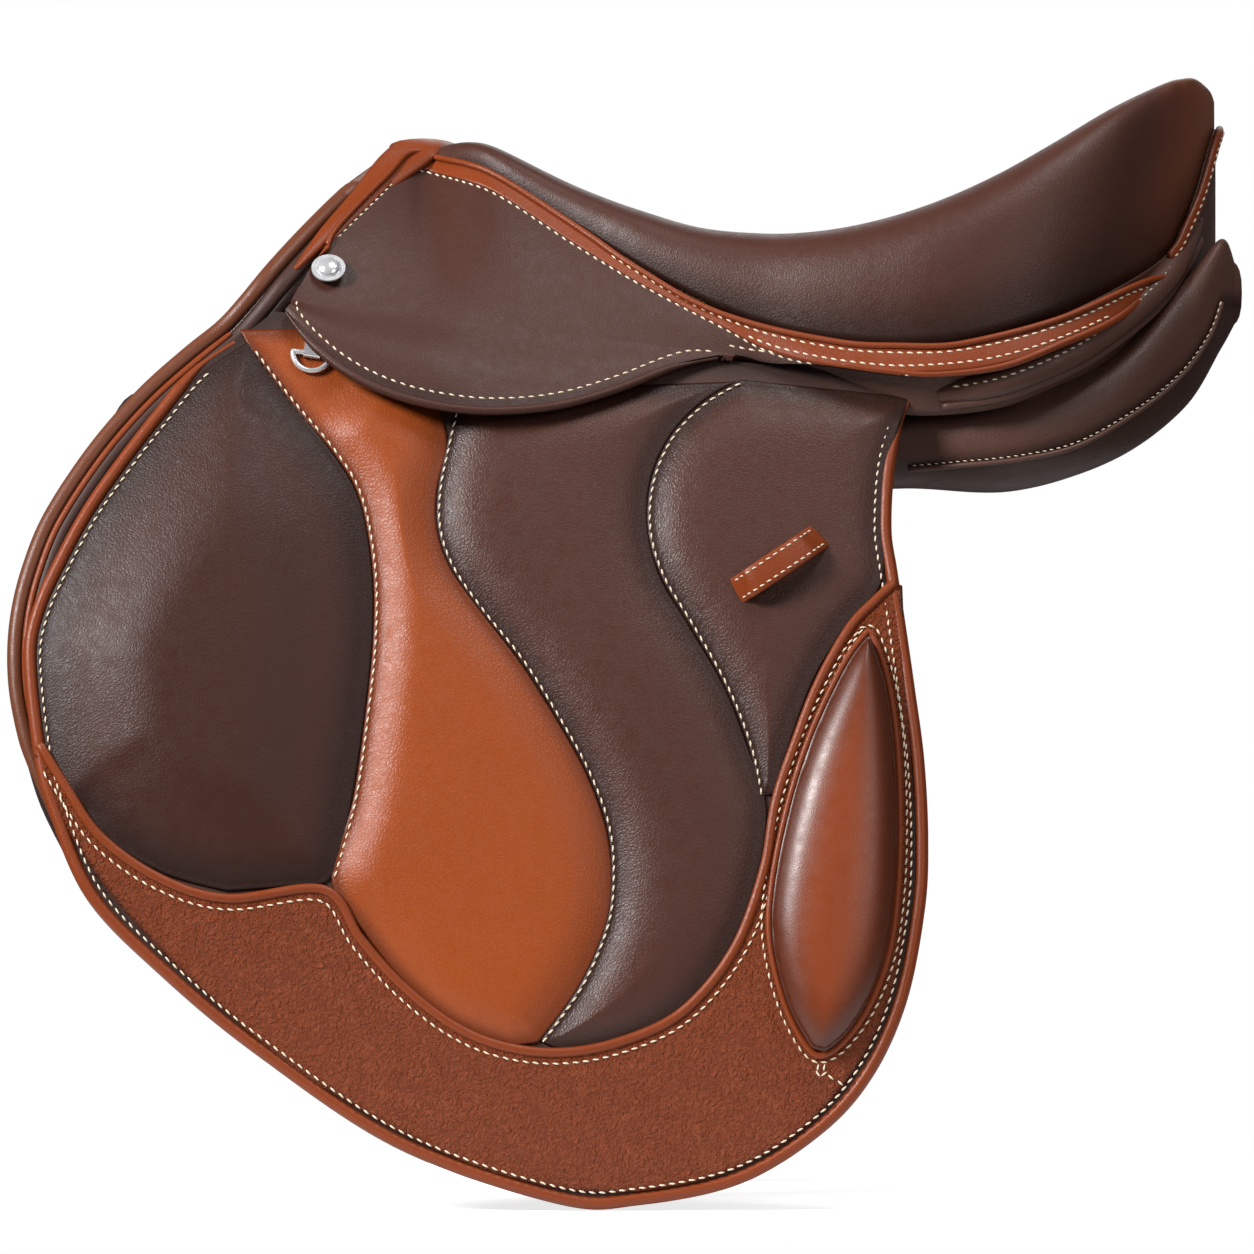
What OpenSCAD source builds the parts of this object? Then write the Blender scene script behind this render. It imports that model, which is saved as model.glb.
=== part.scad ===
// Jumping saddle with lifting flaps, on a spring tree.
// Front (pommel) towards -X, rear (cantle) towards +X, near side towards -Y, +Z up.
// The origin lies on the middle line, at the height where the panels bear under the rider.
// Each side is modelled once, outwards along +Y, and mirrored for the near side.

/* [Seat] */
// Length from saddle nail to the back of the cantle
seat_l = 436; // [400:1:470]
// Widest part of the seat
seat_w = 250; // [235:1:265]
// Height of the seat's lowest point
seat_z = 128; // [125:1:132]
// Rise of the pommel over the lowest point
pommel_rise = 48; // [44:1:54]
// Rise of the cantle over the lowest point
cantle_rise = 78; // [66:1:90]
// Depth of the seat's side at the cantle
seat_side = 91; // [84:1:96]
// Sink of the seat's middle below its rim
seat_dish = 10; // [6:1:14]
// Thickness of the seat leather
cover_t = 2.5; // [1.8:0.1:3]
// Thickness of the seat foam
foam_t = 22; // [18:1:24]
// Width of the tan welt strips
welt_w = 8; // [6:0.5:10]
// Thickness of the tan welt strips
welt_t = 5; // [4:0.5:6]

/* [Flap] */
// Length of the flap, front to rear
flap_l = 433; // [410:1:450]
// Height of the flap
flap_h = 419; // [390:1:450]
// Thickness of the flap leather
flap_t = 4; // [3:0.25:4.5]
// Lean of the flap at its top edge
flap_tilt_top = 23; // [20:1:25]
// Lean of the flap at its bottom edge
flap_tilt_low = 3; // [1:1:5]
// Width of the rolled binding
binding_w = 6; // [4:0.5:7]
// Thickness of the rolled binding
binding_t = 7; // [6:0.5:8]
// Room between flap and sweat flap, where the billets hang
billet_room = 10; // [9:0.5:12]
// Puff of the knee block
knee_crown = 11; // [6:1:16]
// Puff of the thigh block
thigh_crown = 12; // [6:1:16]
// Edge thickness of the sewn-on panels
applique_t = 2; // [1.5:0.25:3]
// Puff of the sewn-on panels
applique_crown = 3; // [1:0.5:4]

/* [Hinge line] */
// Distance of the flap's bend line from the middle
hinge_y = 114; // [112:1:118]
// Height of the bend line above the origin
hinge_z = 76; // [74:1:78]
// Fall of the bend line towards the rear
hinge_tilt = 7; // [6:0.5:8]

/* [Skirt] */
// Length of the skirt
skirt_l = 427; // [415:1:440]
// Height of the skirt, pommel to lobe
skirt_h = 126; // [120:1:132]
// Thickness of the skirt leather
skirt_t = 3.5; // [3:0.25:4]
// Lean of the lobe over the stirrup bar
lobe_tilt = 34; // [32:1:38]
// Radius of the saddle nail's head
nail_r = 8.2; // [6:0.2:10]

/* [Tree] */
// Outer radius of the front arch
arch_r = 81; // [79:0.5:83]
// Thickness of the arch
arch_t = 10; // [8:0.5:11]
// Depth of the arch along the saddle
arch_d = 62; // [58:1:66]
// Thickness of the steel plates
plate_t = 3; // [2:0.25:3.5]
// Width of the side rails
rail_w = 30; // [24:1:34]
// Thickness of the side rails
rail_t = 9; // [7:0.5:10]

/* [Stirrup bar] */
// Length of the bar
bar_l = 54; // [50:1:56]
// Height of the bar
bar_h = 10; // [8:0.5:11]
// Thickness of the bar
bar_t = 6; // [5:0.25:6.5]
// Slot behind the bar for the stirrup leather
bar_slot = 10; // [9:0.5:11]

/* [Billets] */
// Width of a billet
billet_w = 25; // [22:1:27]
// Thickness of a billet
billet_t = 3.5; // [3:0.25:4]
// Length of a billet
billet_l = 300; // [260:1:310]
// Distance between billets
billet_step = 50; // [48:1:54]
// Radius of a billet hole
hole_r = 3; // [2:0.25:4]
// Distance between billet holes
hole_step = 25; // [20:1:30]

/* [Panel] */
// Half the width of the gullet channel
gullet_y = 34; // [30:1:38]
// Length of the panels
panel_l = 462; // [450:1:470]

/* [Hidden] */

// Clearance between pieces that lie on each other
fit = 0.4;
// Overrun of every cut
over = 1;

dark = "#4a312b";
tan_leather = "#a4552a";
grained = "#9c5028";
chrome = "#c9c9cc";
steel = "#8a8d90";
wood = "#b98d5a";
foam = "#d8c9a8";
linen = "#cfc4ae";

// Places of the main pieces along and above the origin
nail_x = -148;
flap_front = -289;
flap_head = 82;
flap_foot = flap_head - flap_h;
skirt_front = -165;
skirt_foot = 43;
panel_front = -166;

// Seat stations: place along seat_l, rise of the middle, depth of the side, half width
seat_shares = [
    [0.125, 1, 0.08, 0.26], [0.166, 0.93, 0.09, 0.4], [0.199, 0.82, 0.105, 0.48],
    [0.265, 0.525, 0.158, 0.58], [0.309, 0.356, 0.205, 0.65], [0.353, 0.218, 0.268, 0.72],
    [0.419, 0.05, 0.358, 0.8], [0.485, 0, 0.468, 0.864], [0.551, 0.018, 0.568, 0.93],
    [0.617, 0.092, 0.674, 0.976], [0.683, 0.215, 0.779, 1], [0.749, 0.387, 0.879, 0.976],
    [0.815, 0.6, 0.963, 0.896], [0.881, 0.822, 1, 0.736], [0.938, 0.975, 0.953, 0.5],
    [0.958, 1, 0.816, 0.4], [0.975, 0.99, 0.616, 0.3], [0.992, 0.9, 0.27, 0.14]
];
// Stations that other pieces start from or end at, by their place along the seat
low_place_share = 0.485;
cantle_place_share = 0.938;
board_place_share = 0.881;
foam_end_share = 0.958;
web_first_share = 0.265;
web_last_share = 0.815;
function station(table, place) = [for (i = [0:len(table) - 1]) if (table[i][0] == place) i][0];
seat_low_row = station(seat_shares, low_place_share);
cantle_row = station(seat_shares, cantle_place_share);

// Flap outlines: shares of flap_l and flap_h, front edge and rear edge from top to bottom
flap_front_shares = [
    [0.271, 1.027], [0.226, 0.991], [0.184, 0.96], [0.142, 0.907], [0.1, 0.85], [0.063, 0.794],
    [0.032, 0.734], [0.009, 0.679], [0, 0.622], [0.012, 0.513], [0.028, 0.451], [0.072, 0.348],
    [0.155, 0.26], [0.26, 0.171], [0.415, 0.065], [0.592, 0.002]
];
flap_rear_shares = [
    [1, 0.938], [0.992, 0.926], [0.978, 0.891], [0.965, 0.84], [0.961, 0.771], [0.967, 0.725],
    [0.976, 0.662], [0.986, 0.588], [0.996, 0.507], [1, 0.416], [0.996, 0.336], [0.975, 0.229],
    [0.936, 0.143], [0.88, 0.08], [0.792, 0.025], [0.681, 0.001]
];
sweat_front_shares = [
    [0.3, 0.87], [0.25, 0.87], [0.13, 0.929], [0.086, 0.885], [0.049, 0.833], [0.019, 0.78], [0, 0.727],
    [-0.013, 0.674], [-0.017, 0.633], [-0.009, 0.553], [0.002, 0.509], [0.025, 0.441], [0.078, 0.349],
    [0.161, 0.265], [0.266, 0.178], [0.421, 0.074]
];
sweat_rear_shares = [
    [0.9, 0.8], [0.93, 0.795], [0.945, 0.79], [0.952, 0.775], [0.958, 0.755], [0.963, 0.725],
    [0.969, 0.662], [0.975, 0.588], [0.978, 0.507], [0.978, 0.416], [0.973, 0.341], [0.953, 0.244],
    [0.914, 0.162], [0.858, 0.1], [0.77, 0.049], [0.637, 0.026]
];
knee_front_shares = [
    [0.251, 0.987], [0.167, 0.892], [0.101, 0.782], [0.056, 0.686], [0.035, 0.595], [0.033, 0.528],
    [0.048, 0.482], [0.091, 0.43], [0.157, 0.388], [0.227, 0.367]
];
knee_rear_shares = [
    [0.262, 0.979], [0.297, 0.92], [0.34, 0.86], [0.368, 0.803], [0.381, 0.725], [0.382, 0.645],
    [0.373, 0.553], [0.36, 0.462], [0.343, 0.391], [0.322, 0.371]
];
swoosh_front_shares = [
    [0.31, 0.93], [0.32, 0.91], [0.35, 0.862], [0.375, 0.808], [0.389, 0.727], [0.39, 0.645],
    [0.381, 0.551], [0.368, 0.459], [0.349, 0.377], [0.382, 0.316], [0.423, 0.266], [0.478, 0.22],
    [0.539, 0.197]
];
swoosh_rear_shares = [
    [0.476, 0.93], [0.464, 0.874], [0.453, 0.817], [0.453, 0.771], [0.468, 0.725], [0.502, 0.675],
    [0.546, 0.616], [0.588, 0.548], [0.621, 0.485], [0.642, 0.422], [0.646, 0.359], [0.631, 0.29],
    [0.559, 0.2]
];
middle_front_shares = [
    [0.484, 0.929], [0.472, 0.874], [0.461, 0.817], [0.461, 0.771], [0.476, 0.727], [0.509, 0.678],
    [0.554, 0.62], [0.596, 0.551], [0.629, 0.488], [0.65, 0.424], [0.653, 0.359], [0.639, 0.288],
    [0.584, 0.2]
];
middle_rear_shares = [
    [0.786, 0.945], [0.748, 0.92], [0.712, 0.88], [0.69, 0.828], [0.687, 0.771], [0.701, 0.714],
    [0.734, 0.656], [0.772, 0.588], [0.798, 0.519], [0.81, 0.45], [0.796, 0.379], [0.748, 0.278],
    [0.626, 0.194]
];
rear_front_shares = [
    [0.796, 0.94], [0.756, 0.916], [0.72, 0.878], [0.698, 0.827], [0.694, 0.771], [0.709, 0.717],
    [0.742, 0.66], [0.78, 0.59], [0.806, 0.521], [0.817, 0.466]
];
rear_rear_shares = [
    [0.97, 0.905], [0.96, 0.88], [0.95, 0.84], [0.946, 0.777], [0.947, 0.734], [0.936, 0.707],
    [0.905, 0.672], [0.868, 0.608], [0.841, 0.536], [0.825, 0.473]
];
guard_inner_shares = [
    [0.041, 0.494], [0.086, 0.42], [0.152, 0.372], [0.227, 0.349], [0.333, 0.359], [0.373, 0.304],
    [0.417, 0.253], [0.473, 0.207], [0.528, 0.182], [0.592, 0.174], [0.659, 0.186], [0.728, 0.22],
    [0.785, 0.29], [0.818, 0.379], [0.832, 0.459], [0.854, 0.527], [0.88, 0.595], [0.916, 0.659],
    [0.942, 0.69]
];
guard_outer_shares = [
    [0.034, 0.478], [0.06, 0.422], [0.112, 0.346], [0.195, 0.256], [0.288, 0.173], [0.36, 0.124],
    [0.426, 0.085], [0.493, 0.054], [0.554, 0.034], [0.62, 0.022], [0.687, 0.023], [0.757, 0.037],
    [0.815, 0.062], [0.867, 0.1], [0.917, 0.162], [0.953, 0.238], [0.972, 0.338], [0.977, 0.473],
    [0.957, 0.69]
];
thigh_front_shares = [
    [0.927, 0.645], [0.894, 0.617], [0.863, 0.542], [0.842, 0.462], [0.831, 0.37], [0.833, 0.301],
    [0.85, 0.228], [0.876, 0.182]
];
thigh_rear_shares = [
    [0.938, 0.645], [0.956, 0.592], [0.964, 0.507], [0.965, 0.393], [0.954, 0.301], [0.936, 0.244],
    [0.916, 0.205], [0.894, 0.18]
];
// Keeper loop: its two ends on the flap, then its lift along the way
keeper_ends_shares = [[0.79, 0.7], [0.88, 0.762]];
keeper_lift_shares = [[0, 0], [0.08, 0.35], [0.2, 0.85], [0.5, 1], [0.8, 0.85], [0.92, 0.35], [1, 0]];
keeper_w = 14;
keeper_t = 3;
keeper_lift = 12;

// Skirt outlines: shares of skirt_l and skirt_h, top edge from pommel to cantle
skirt_head_shares = [[0.034, 0.583], [0.063, 0.697], [0.105, 0.845], [0.134, 0.95]];
// Band over the pommel: shares of skirt_l and skirt_h from the skirt's front corner to the top
band_shares = [
    [0.01, 0.544], [0.039, 0.658], [0.075, 0.791], [0.109, 0.913], [0.134, 1], [0.15, 1.042],
    [0.154, 1.053]
];
skirt_rear_shares = [
    [0.546, 0.186], [0.604, 0.176], [0.672, 0.144], [0.728, 0.127], [0.807, 0.156], [0.874, 0.243],
    [0.942, 0.354], [0.995, 0.536]
];
bend_shares = [0.008, 0.04, 0.082, 0.126, 0.172, 0.22, 0.27, 0.324, 0.38, 0.442, 0.508];
lobe_foot_shares = [
    [0.001, 0.38], [0.03, 0.26], [0.075, 0.14], [0.13, 0.055], [0.19, 0.01], [0.245, 0], [0.31, 0.022],
    [0.375, 0.085], [0.44, 0.17], [0.5, 0.212]
];
lobe_top_shares = [0.003, 0.04, 0.09, 0.145, 0.2, 0.25, 0.31, 0.375, 0.44, 0.5];
skirt_splay = 2;

// Shape of the leather over the pommel, from bend line to top
head_round_share = 1.3;
head_low_share = 0.2;
band_w = 9;
band_t = 4;

// Panel: height of its rear end, thickness under the seat and reach under the rider's thigh
panel_rise = 100;
panel_t = 50;
panel_reach = 100;
// Panel stations: place along panel_l, height of the inner and the outer end as shares of panel_rise,
// thickness as a share of panel_t, and its outer end as a share of panel_reach, or 0 where it lies
// against the sweat flap
panel_shares = [
    [0, 0.76, 0.16, 0.28, 0], [0.13, 0.68, -0.08, 0.3, 0], [0.28, 0.64, -0.14, 0.4, 0],
    [0.42, 0.58, -0.12, 0.56, 0], [0.56, 0.48, 0.08, 0.72, 1.06], [0.66, 0.34, 0.26, 0.88, 1.04],
    [0.77, 0.31, 0.29, 0.96, 1.1], [0.87, 0.48, 0.45, 1.06, 0.95], [0.945, 0.77, 0.75, 1.24, 0.71],
    [0.985, 1.02, 1, 1.08, 0.54], [1, 1.02, 1.01, 0.6, 0.44]
];
panel_ease_share = 0.19;

function mix(a, b, s) = a + (b - a)*s;
function unit(v) = v/norm(v);
function reversed(list) = [for (i = [len(list) - 1:-1:0]) list[i]];
function spline_at(a, b, c, d, t) =
    (2*b + (c - a)*t + (2*a - 5*b + 4*c - d)*t*t + (3*b - a - 3*c + d)*t*t*t)/2;
function curve(p, n) = let(last = len(p) - 1) concat(
    [for (i = [0:last - 1]) for (k = [0:n - 1])
        spline_at(p[max(i - 1, 0)], p[i], p[i + 1], p[min(i + 2, last)], k/n)],
    [p[last]]);

// Six times the volume that a set of triangles encloses, to turn them the right way out
function signed_volume(pts, tris) =
    [for (t = tris) pts[t[0]]*cross(pts[t[1]], pts[t[2]])]*[for (t = tris) 1];
function outwards(pts, tris) =
    signed_volume(pts, tris) < 0 ? tris : [for (t = tris) [t[2], t[1], t[0]]];

// Closed sheet between two grids of points
module skin(outer, inner) {
    rows = len(outer);
    cols = len(outer[0]);
    half = rows*cols;
    pts = concat([for (r = outer) each r], [for (r = inner) each r]);
    tris = concat(
        [for (i = [0:rows - 2]) for (j = [0:cols - 2]) let(a = i*cols + j, b = a + cols)
            each [[a, b, b + 1], [a, b + 1, a + 1], [half + a, half + b + 1, half + b],
                [half + a, half + a + 1, half + b + 1]]],
        [for (i = [0:rows - 2]) let(a = i*cols, b = a + cols, c = a + cols - 1, d = b + cols - 1)
            each [[a, half + a, half + b], [a, half + b, b], [c, half + d, half + c], [c, d, half + d]]],
        [for (j = [0:cols - 2]) let(a = j, c = (rows - 1)*cols + j)
            each [[a, half + a + 1, half + a], [a, a + 1, half + a + 1], [c, half + c, half + c + 1],
                [c, half + c + 1, c + 1]]]);
    polyhedron(pts, outwards(pts, tris), convexity = 8);
}

// Closed solid through rings of points, capped at both ends
module loft(rings) {
    n = len(rings[0]);
    last = len(rings) - 1;
    pts = [for (r = rings) each r];
    tris = concat(
        [for (i = [0:last - 1]) for (k = [0:n - 1])
            let(a = i*n + k, b = i*n + (k + 1)%n, c = a + n, d = b + n) each [[a, d, b], [a, c, d]]],
        [for (k = [1:n - 2]) each [[0, k, k + 1], [last*n, last*n + k + 1, last*n + k]]]);
    polyhedron(pts, outwards(pts, tris), convexity = 8);
}

// Rings of an oval section along a path, its broad side turned to face at each point
function strip(path, w, t, sides, face) = let(last = len(path) - 1) [for (i = [0:last]) let(
    d = unit(path[min(i + 1, last)] - path[max(i - 1, 0)]),
    n = unit(face[i] - d*(face[i]*d)),
    b = cross(d, n))
    [for (k = [0:sides - 1]) let(a = 360*(k + 0.5)/sides) path[i] + b*(cos(a)*w/2) + n*(sin(a)*t/2)]];

module near_side() {
    mirror([0, 1, 0]) children();
}

// Frame of the bend line: X along it to the rear, Z up, Y from the middle of the saddle
module bend_frame() {
    translate([0, 0, hinge_z]) rotate([0, hinge_tilt, 0]) children();
}

// Seat surface
function seat_x(i) = nail_x + seat_shares[i][0]*seat_l;
function seat_top(i) =
    seat_z + seat_shares[i][1]*(i < seat_low_row ? pommel_rise : cantle_rise) + seat_dish/2;
function seat_depth(i) = seat_shares[i][2]*seat_side + seat_dish/2;
function seat_half(i) = seat_shares[i][3]*seat_w/2;
function seat_point(i, a, d) = let(c = 1 - cos(90*a)) [
    seat_x(i),
    (seat_half(i) - d)*sin(90*a),
    seat_top(i) - d - (seat_depth(i) - d)*pow(c, 3)
        - seat_dish*pow(cos(90*a), 3)*min(1, seat_depth(i)/seat_side)
];
function seat_layer(first, last, steps, d) =
    [for (i = [first:last]) [for (k = [-steps:steps]) seat_point(i, k/steps, d)]];

top_table = [for (i = [0:len(seat_shares) - 1]) [seat_shares[i][0], seat_top(i)]];

// Lower rim of the seat, moved out level by d and down by drop
function rim(i) = seat_point(i, 1, 0);
function rim_out(i, d, drop) = let(
    last = len(seat_shares) - 1,
    t = rim(min(i + 1, last)) - rim(max(i - 1, 0)),
    n = unit([-t.y, t.x, 0]))
    rim(i) + n*d - [0, 0, drop];
rim_gap = welt_t/2 + fit;
function welt_path(first, last) = [for (i = [first:last]) rim_out(i, rim_gap, 0)];

// Flap surface: q is the distance below the bend line
function bend_q(x, z) = -x*sin(hinge_tilt) - (z - hinge_z)*cos(hinge_tilt);
function bend_height(x) = hinge_z - x*tan(hinge_tilt);
function flare(q) = let(d = max(q, 0))
    d*tan(flap_tilt_top) - d*d*(tan(flap_tilt_top) - tan(flap_tilt_low))/(2*flap_h);
flap_set = skirt_t/2 + fit;
function flap_face(x, z) = hinge_y - flap_set + flare(bend_q(x, z));
function flap_place(s) = [flap_front + s[0]*flap_l, flap_foot + s[1]*flap_h];
function flap_edge(shares, n) = curve([for (s = shares) flap_place(s)], n);
function on_flap(p, off) = [p[0], flap_face(p[0], p[1]) + off, p[1]];
function flap_layer(a, b, cols, off) = let(last = len(a) - 1)
    [for (i = [0:last]) [for (j = [0:cols]) on_flap(mix(a[i], b[i], j/cols), off(i/last, j/cols))]];
// An edge moved sideways by d, to the left of its run
function beside(e, d) = let(last = len(e) - 1) [for (i = [0:last])
    let(t = unit(e[min(i + 1, last)] - e[max(i - 1, 0)])) e[i] + [-t[1], t[0]]*d];

// Sheet that follows the flap, from its face + low to its face + high
module flap_sheet(a, b, cols, low, high) {
    skin(flap_layer(a, b, cols, function(s, t) high), flap_layer(a, b, cols, function(s, t) low));
}

// Pad sewn on the flap, thin at its edges and crowned between them
pad_side_share = 0.6;
pad_end_share = 0.5;
function pad_rise(s, t) = pow(max(sin(180*t), 0), pad_side_share)*pow(max(sin(180*s), 0), pad_end_share);
module flap_pad(front, rear, n, cols, seat, edge, crown) {
    a = flap_edge(front, n);
    b = flap_edge(rear, n);
    skin(
        flap_layer(a, b, cols, function(s, t) seat + edge + crown*pad_rise(s, t)),
        flap_layer(a, b, cols, function(s, t) seat));
}

// Skirt surface
function skirt_xz(s) = [skirt_front + s[0]*skirt_l, skirt_foot + s[1]*skirt_h];
function head_top() = seat_z + pommel_rise;
function head_y(z) = let(low = mix(hinge_z, head_top(), head_low_share))
    hinge_y*pow(1 - pow(max(min((z - low)/(head_top() + band_t - low), 1), 0), head_round_share),
        1/head_round_share);
skirt_drop = 0.65*welt_w + skirt_t/2;
function skirt_top() = concat(
    [for (s = skirt_head_shares) let(p = skirt_xz(s)) [p[0], head_y(p[1]), p[1]]],
    [for (i = [0:cantle_row]) rim_out(i, rim_gap, skirt_drop)]);
function skirt_low(top) = concat(
    [for (s = bend_shares) let(x = skirt_front + s*skirt_l) [x, hinge_y, bend_height(x)]],
    [for (k = [0:len(skirt_rear_shares) - 1]) let(
        p = skirt_xz(skirt_rear_shares[k]),
        over_rim = top[len(top) - len(skirt_rear_shares) + k].y + skirt_splay,
        lifted = skirt_rear_shares[k][0] < skirt_lift_share)
        [p[0], lifted ? max(hinge_y + fit, over_rim) : over_rim, p[1]]]);
skirt_cols = 4;
skirt_lift_share = 0.75;
skirt_bulge_share = 0.065;
knuckle_room = skirt_t + fit;
function skirt_dir(top, low) = unit(low - top);
function skirt_normal(d) = unit(cross([1, 0, 0], d));
function skirt_layer(top, low, side) = [for (i = [0:len(top) - 1]) let(
    d = skirt_dir(top[i], low[i]),
    end = i < len(bend_shares) ? low[i] - d*knuckle_room : low[i],
    bulge = skirt_bulge_share*norm(end - top[i]))
    [for (j = [0:skirt_cols]) mix(top[i], end, j/skirt_cols)
        + skirt_normal(d)*(side*skirt_t/2 + bulge*sin(180*j/skirt_cols))]];

// Saddle nail, set through the skirt's front corner
nail_place_share = 0.063;
nail_row = station(skirt_head_shares, nail_place_share);
nail_share = 0.62;
nail_shank_r = 2;
nail_shank_l = 9;
nail_rim_h = 1;
nail_dome_h = 3;
nail_dome_share = 0.7;
nail_lift = 1.7;
module nail_frame() {
    top = skirt_top();
    low = skirt_low(top);
    d = skirt_dir(top[nail_row], low[nail_row]);
    n = skirt_normal(d);
    bulge = skirt_bulge_share*norm(low[nail_row] - top[nail_row]);
    translate(mix(top[nail_row], low[nail_row], nail_share) + n*bulge*sin(180*nail_share))
        rotate([-atan2(n.y, n.z), 0, 0])
            children();
}
module saddle_nail() {
    dome_r = nail_r*nail_dome_share;
    color(chrome) nail_frame() {
        translate([0, 0, skirt_t/2 + nail_lift]) rotate_extrude($fn = 64)
            polygon(concat([[0, 0], [nail_r, 0], [nail_r, nail_rim_h], [dome_r, nail_rim_h]],
                [for (a = [15:15:90]) [dome_r*cos(a), nail_rim_h + nail_dome_h*sin(a)]]));
        translate([0, 0, -nail_shank_l])
            cylinder(r = nail_shank_r, h = nail_shank_l + skirt_t/2 + nail_lift, $fn = 32);
    }
}

module skirt() {
    top = skirt_top();
    low = skirt_low(top);
    color(dark) difference() {
        skin(skirt_layer(top, low, 1), skirt_layer(top, low, -1));
        nail_frame() translate([0, 0, -skirt_t])
            cylinder(r = nail_shank_r + fit, h = 2*skirt_t, $fn = 32);
    }
}

// Skirt lobe: hangs from the bend line, with a rounded knuckle on it
knuckle_shares = [[-0.87, 0.5], [-0.5, 0.87], [0, 1]];
lobe_cols = 4;
lobe_curl_share = 0.05;
function lobe_layer(side) = [for (i = [0:len(lobe_top_shares) - 1]) let(
    x = skirt_front + lobe_top_shares[i]*skirt_l,
    top = [x, hinge_y, bend_height(x)],
    foot = skirt_xz(lobe_foot_shares[i]),
    low = [foot[0], hinge_y + tan(lobe_tilt)*bend_q(foot[0], foot[1]), foot[1]],
    d = unit([0, sin(lobe_tilt), -cos(lobe_tilt)]),
    n = skirt_normal(d))
    concat(
        [for (k = knuckle_shares) top + d*(k[0]*skirt_t/2) + n*(side*k[1]*skirt_t/2)],
        [for (j = [1:lobe_cols]) mix(top, low, j/lobe_cols)
            + n*(side*skirt_t/2 + lobe_curl_share*norm(low - top)*sin(180*j/lobe_cols))])];
module skirt_lobe() {
    color(dark) skin(lobe_layer(1), lobe_layer(-1));
}

// Spring tree: front arch with parallel flanks, in the frame of the bend line
arch_p = -112;
flank_lean = 26;
flank_l = 92;
head_pad = 17;
arch_mid = arch_p + arch_d/2;
plate_d = 40;
head_clear = 2;
plate_rear = (arch_mid + plate_d/2)*cos(hinge_tilt) + arch_r*sin(hinge_tilt);
under_seat = lookup((plate_rear - nail_x)/seat_l, top_table) - cover_t;
arch_top = min(head_top() - head_pad, under_seat - plate_t - head_clear);
arch_drop = head_top() - head_pad - arch_top;
arch_c = arch_top - bend_height(arch_mid) - arch_r;
head_flank_l = 2*plate_t;
rivet_r = 2.5;
rivet_head_r = 5;
rivet_head_h = 1.8;
rivet_step = 22;
head_rivet_angles = [62, 118];
arch_steps = 36;
function arch_line(r, leg) = let(a = flank_lean, end = r*[cos(a), sin(a)] + leg*[sin(a), -cos(a)]) concat(
    [end],
    [for (k = [0:arch_steps]) let(w = mix(a, 180 - a, k/arch_steps)) r*[cos(w), sin(w)]],
    [[-end[0], end[1]]]);
module arch_shape(r, t, leg, d) {
    bend_frame() translate([arch_mid - d/2, 0, arch_c]) rotate([90, 0, 90])
        linear_extrude(height = d) polygon(concat(arch_line(r, leg), reversed(arch_line(r - t, leg))));
}
// Frame on the arch at an angle round it and s down its flank, Z outwards from the arch's centre
module arch_frame(p, angle, s) {
    bend_frame() translate([p, 0, arch_c]) rotate([angle - 90, 0, 0]) translate([0, s, 0]) children();
}
gullet_r = arch_r - arch_t - fit;
head_r = arch_r + fit + plate_t;
bar_s = 62;
bar_p = arch_p - 2*fit;
bar_plate_h = 24;
bar_rivet_edge = 16;
module rivet_places() {
    for (p = [-rivet_step/2, rivet_step/2], a = head_rivet_angles) arch_frame(arch_mid + p, a, 0) children();
}
module bar_rivet_places() {
    for (p = [bar_rivet_edge, bar_l - bar_rivet_edge])
        arch_frame(bar_p + p, flank_lean, bar_s) children();
}
module rivet_holes() {
    bore = rivet_r + fit/2;
    deep = gullet_r - plate_t - over;
    long = head_r + over - deep;
    rivet_places() translate([0, 0, deep]) cylinder(r = bore, h = long, $fn = 32);
    bar_rivet_places() translate([0, 0, deep]) cylinder(r = bore, h = long, $fn = 32);
    mirror([0, 1, 0]) bar_rivet_places() translate([0, 0, deep]) cylinder(r = bore, h = long, $fn = 32);
}
module flush_rivet() {
    low = gullet_r - plate_t - fit - rivet_head_h;
    translate([0, 0, low]) cylinder(r = rivet_r, h = head_r - low, $fn = 32);
    translate([0, 0, low]) cylinder(r = rivet_head_r, h = rivet_head_h, $fn = 32);
}
module rivet() {
    flush_rivet();
    translate([0, 0, head_r - over]) cylinder(r = rivet_r, h = over + fit + rivet_head_h, $fn = 32);
    translate([0, 0, head_r + fit]) cylinder(r = rivet_head_r, h = rivet_head_h, $fn = 32);
}
module front_arch() {
    color(wood) difference() {
        arch_shape(arch_r, arch_t, flank_l, arch_d);
        rivet_holes();
    }
}
module gullet_plate() {
    color(steel) difference() {
        arch_shape(gullet_r, plate_t, flank_l, plate_d);
        rivet_holes();
    }
}
module head_plate() {
    color(steel) difference() {
        arch_shape(head_r, plate_t, head_flank_l, plate_d);
        rivet_holes();
    }
}
module tree_rivets() {
    color(steel) {
        rivet_places() rivet();
        bar_rivet_places() flush_rivet();
        mirror([0, 1, 0]) bar_rivet_places() flush_rivet();
    }
}

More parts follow.
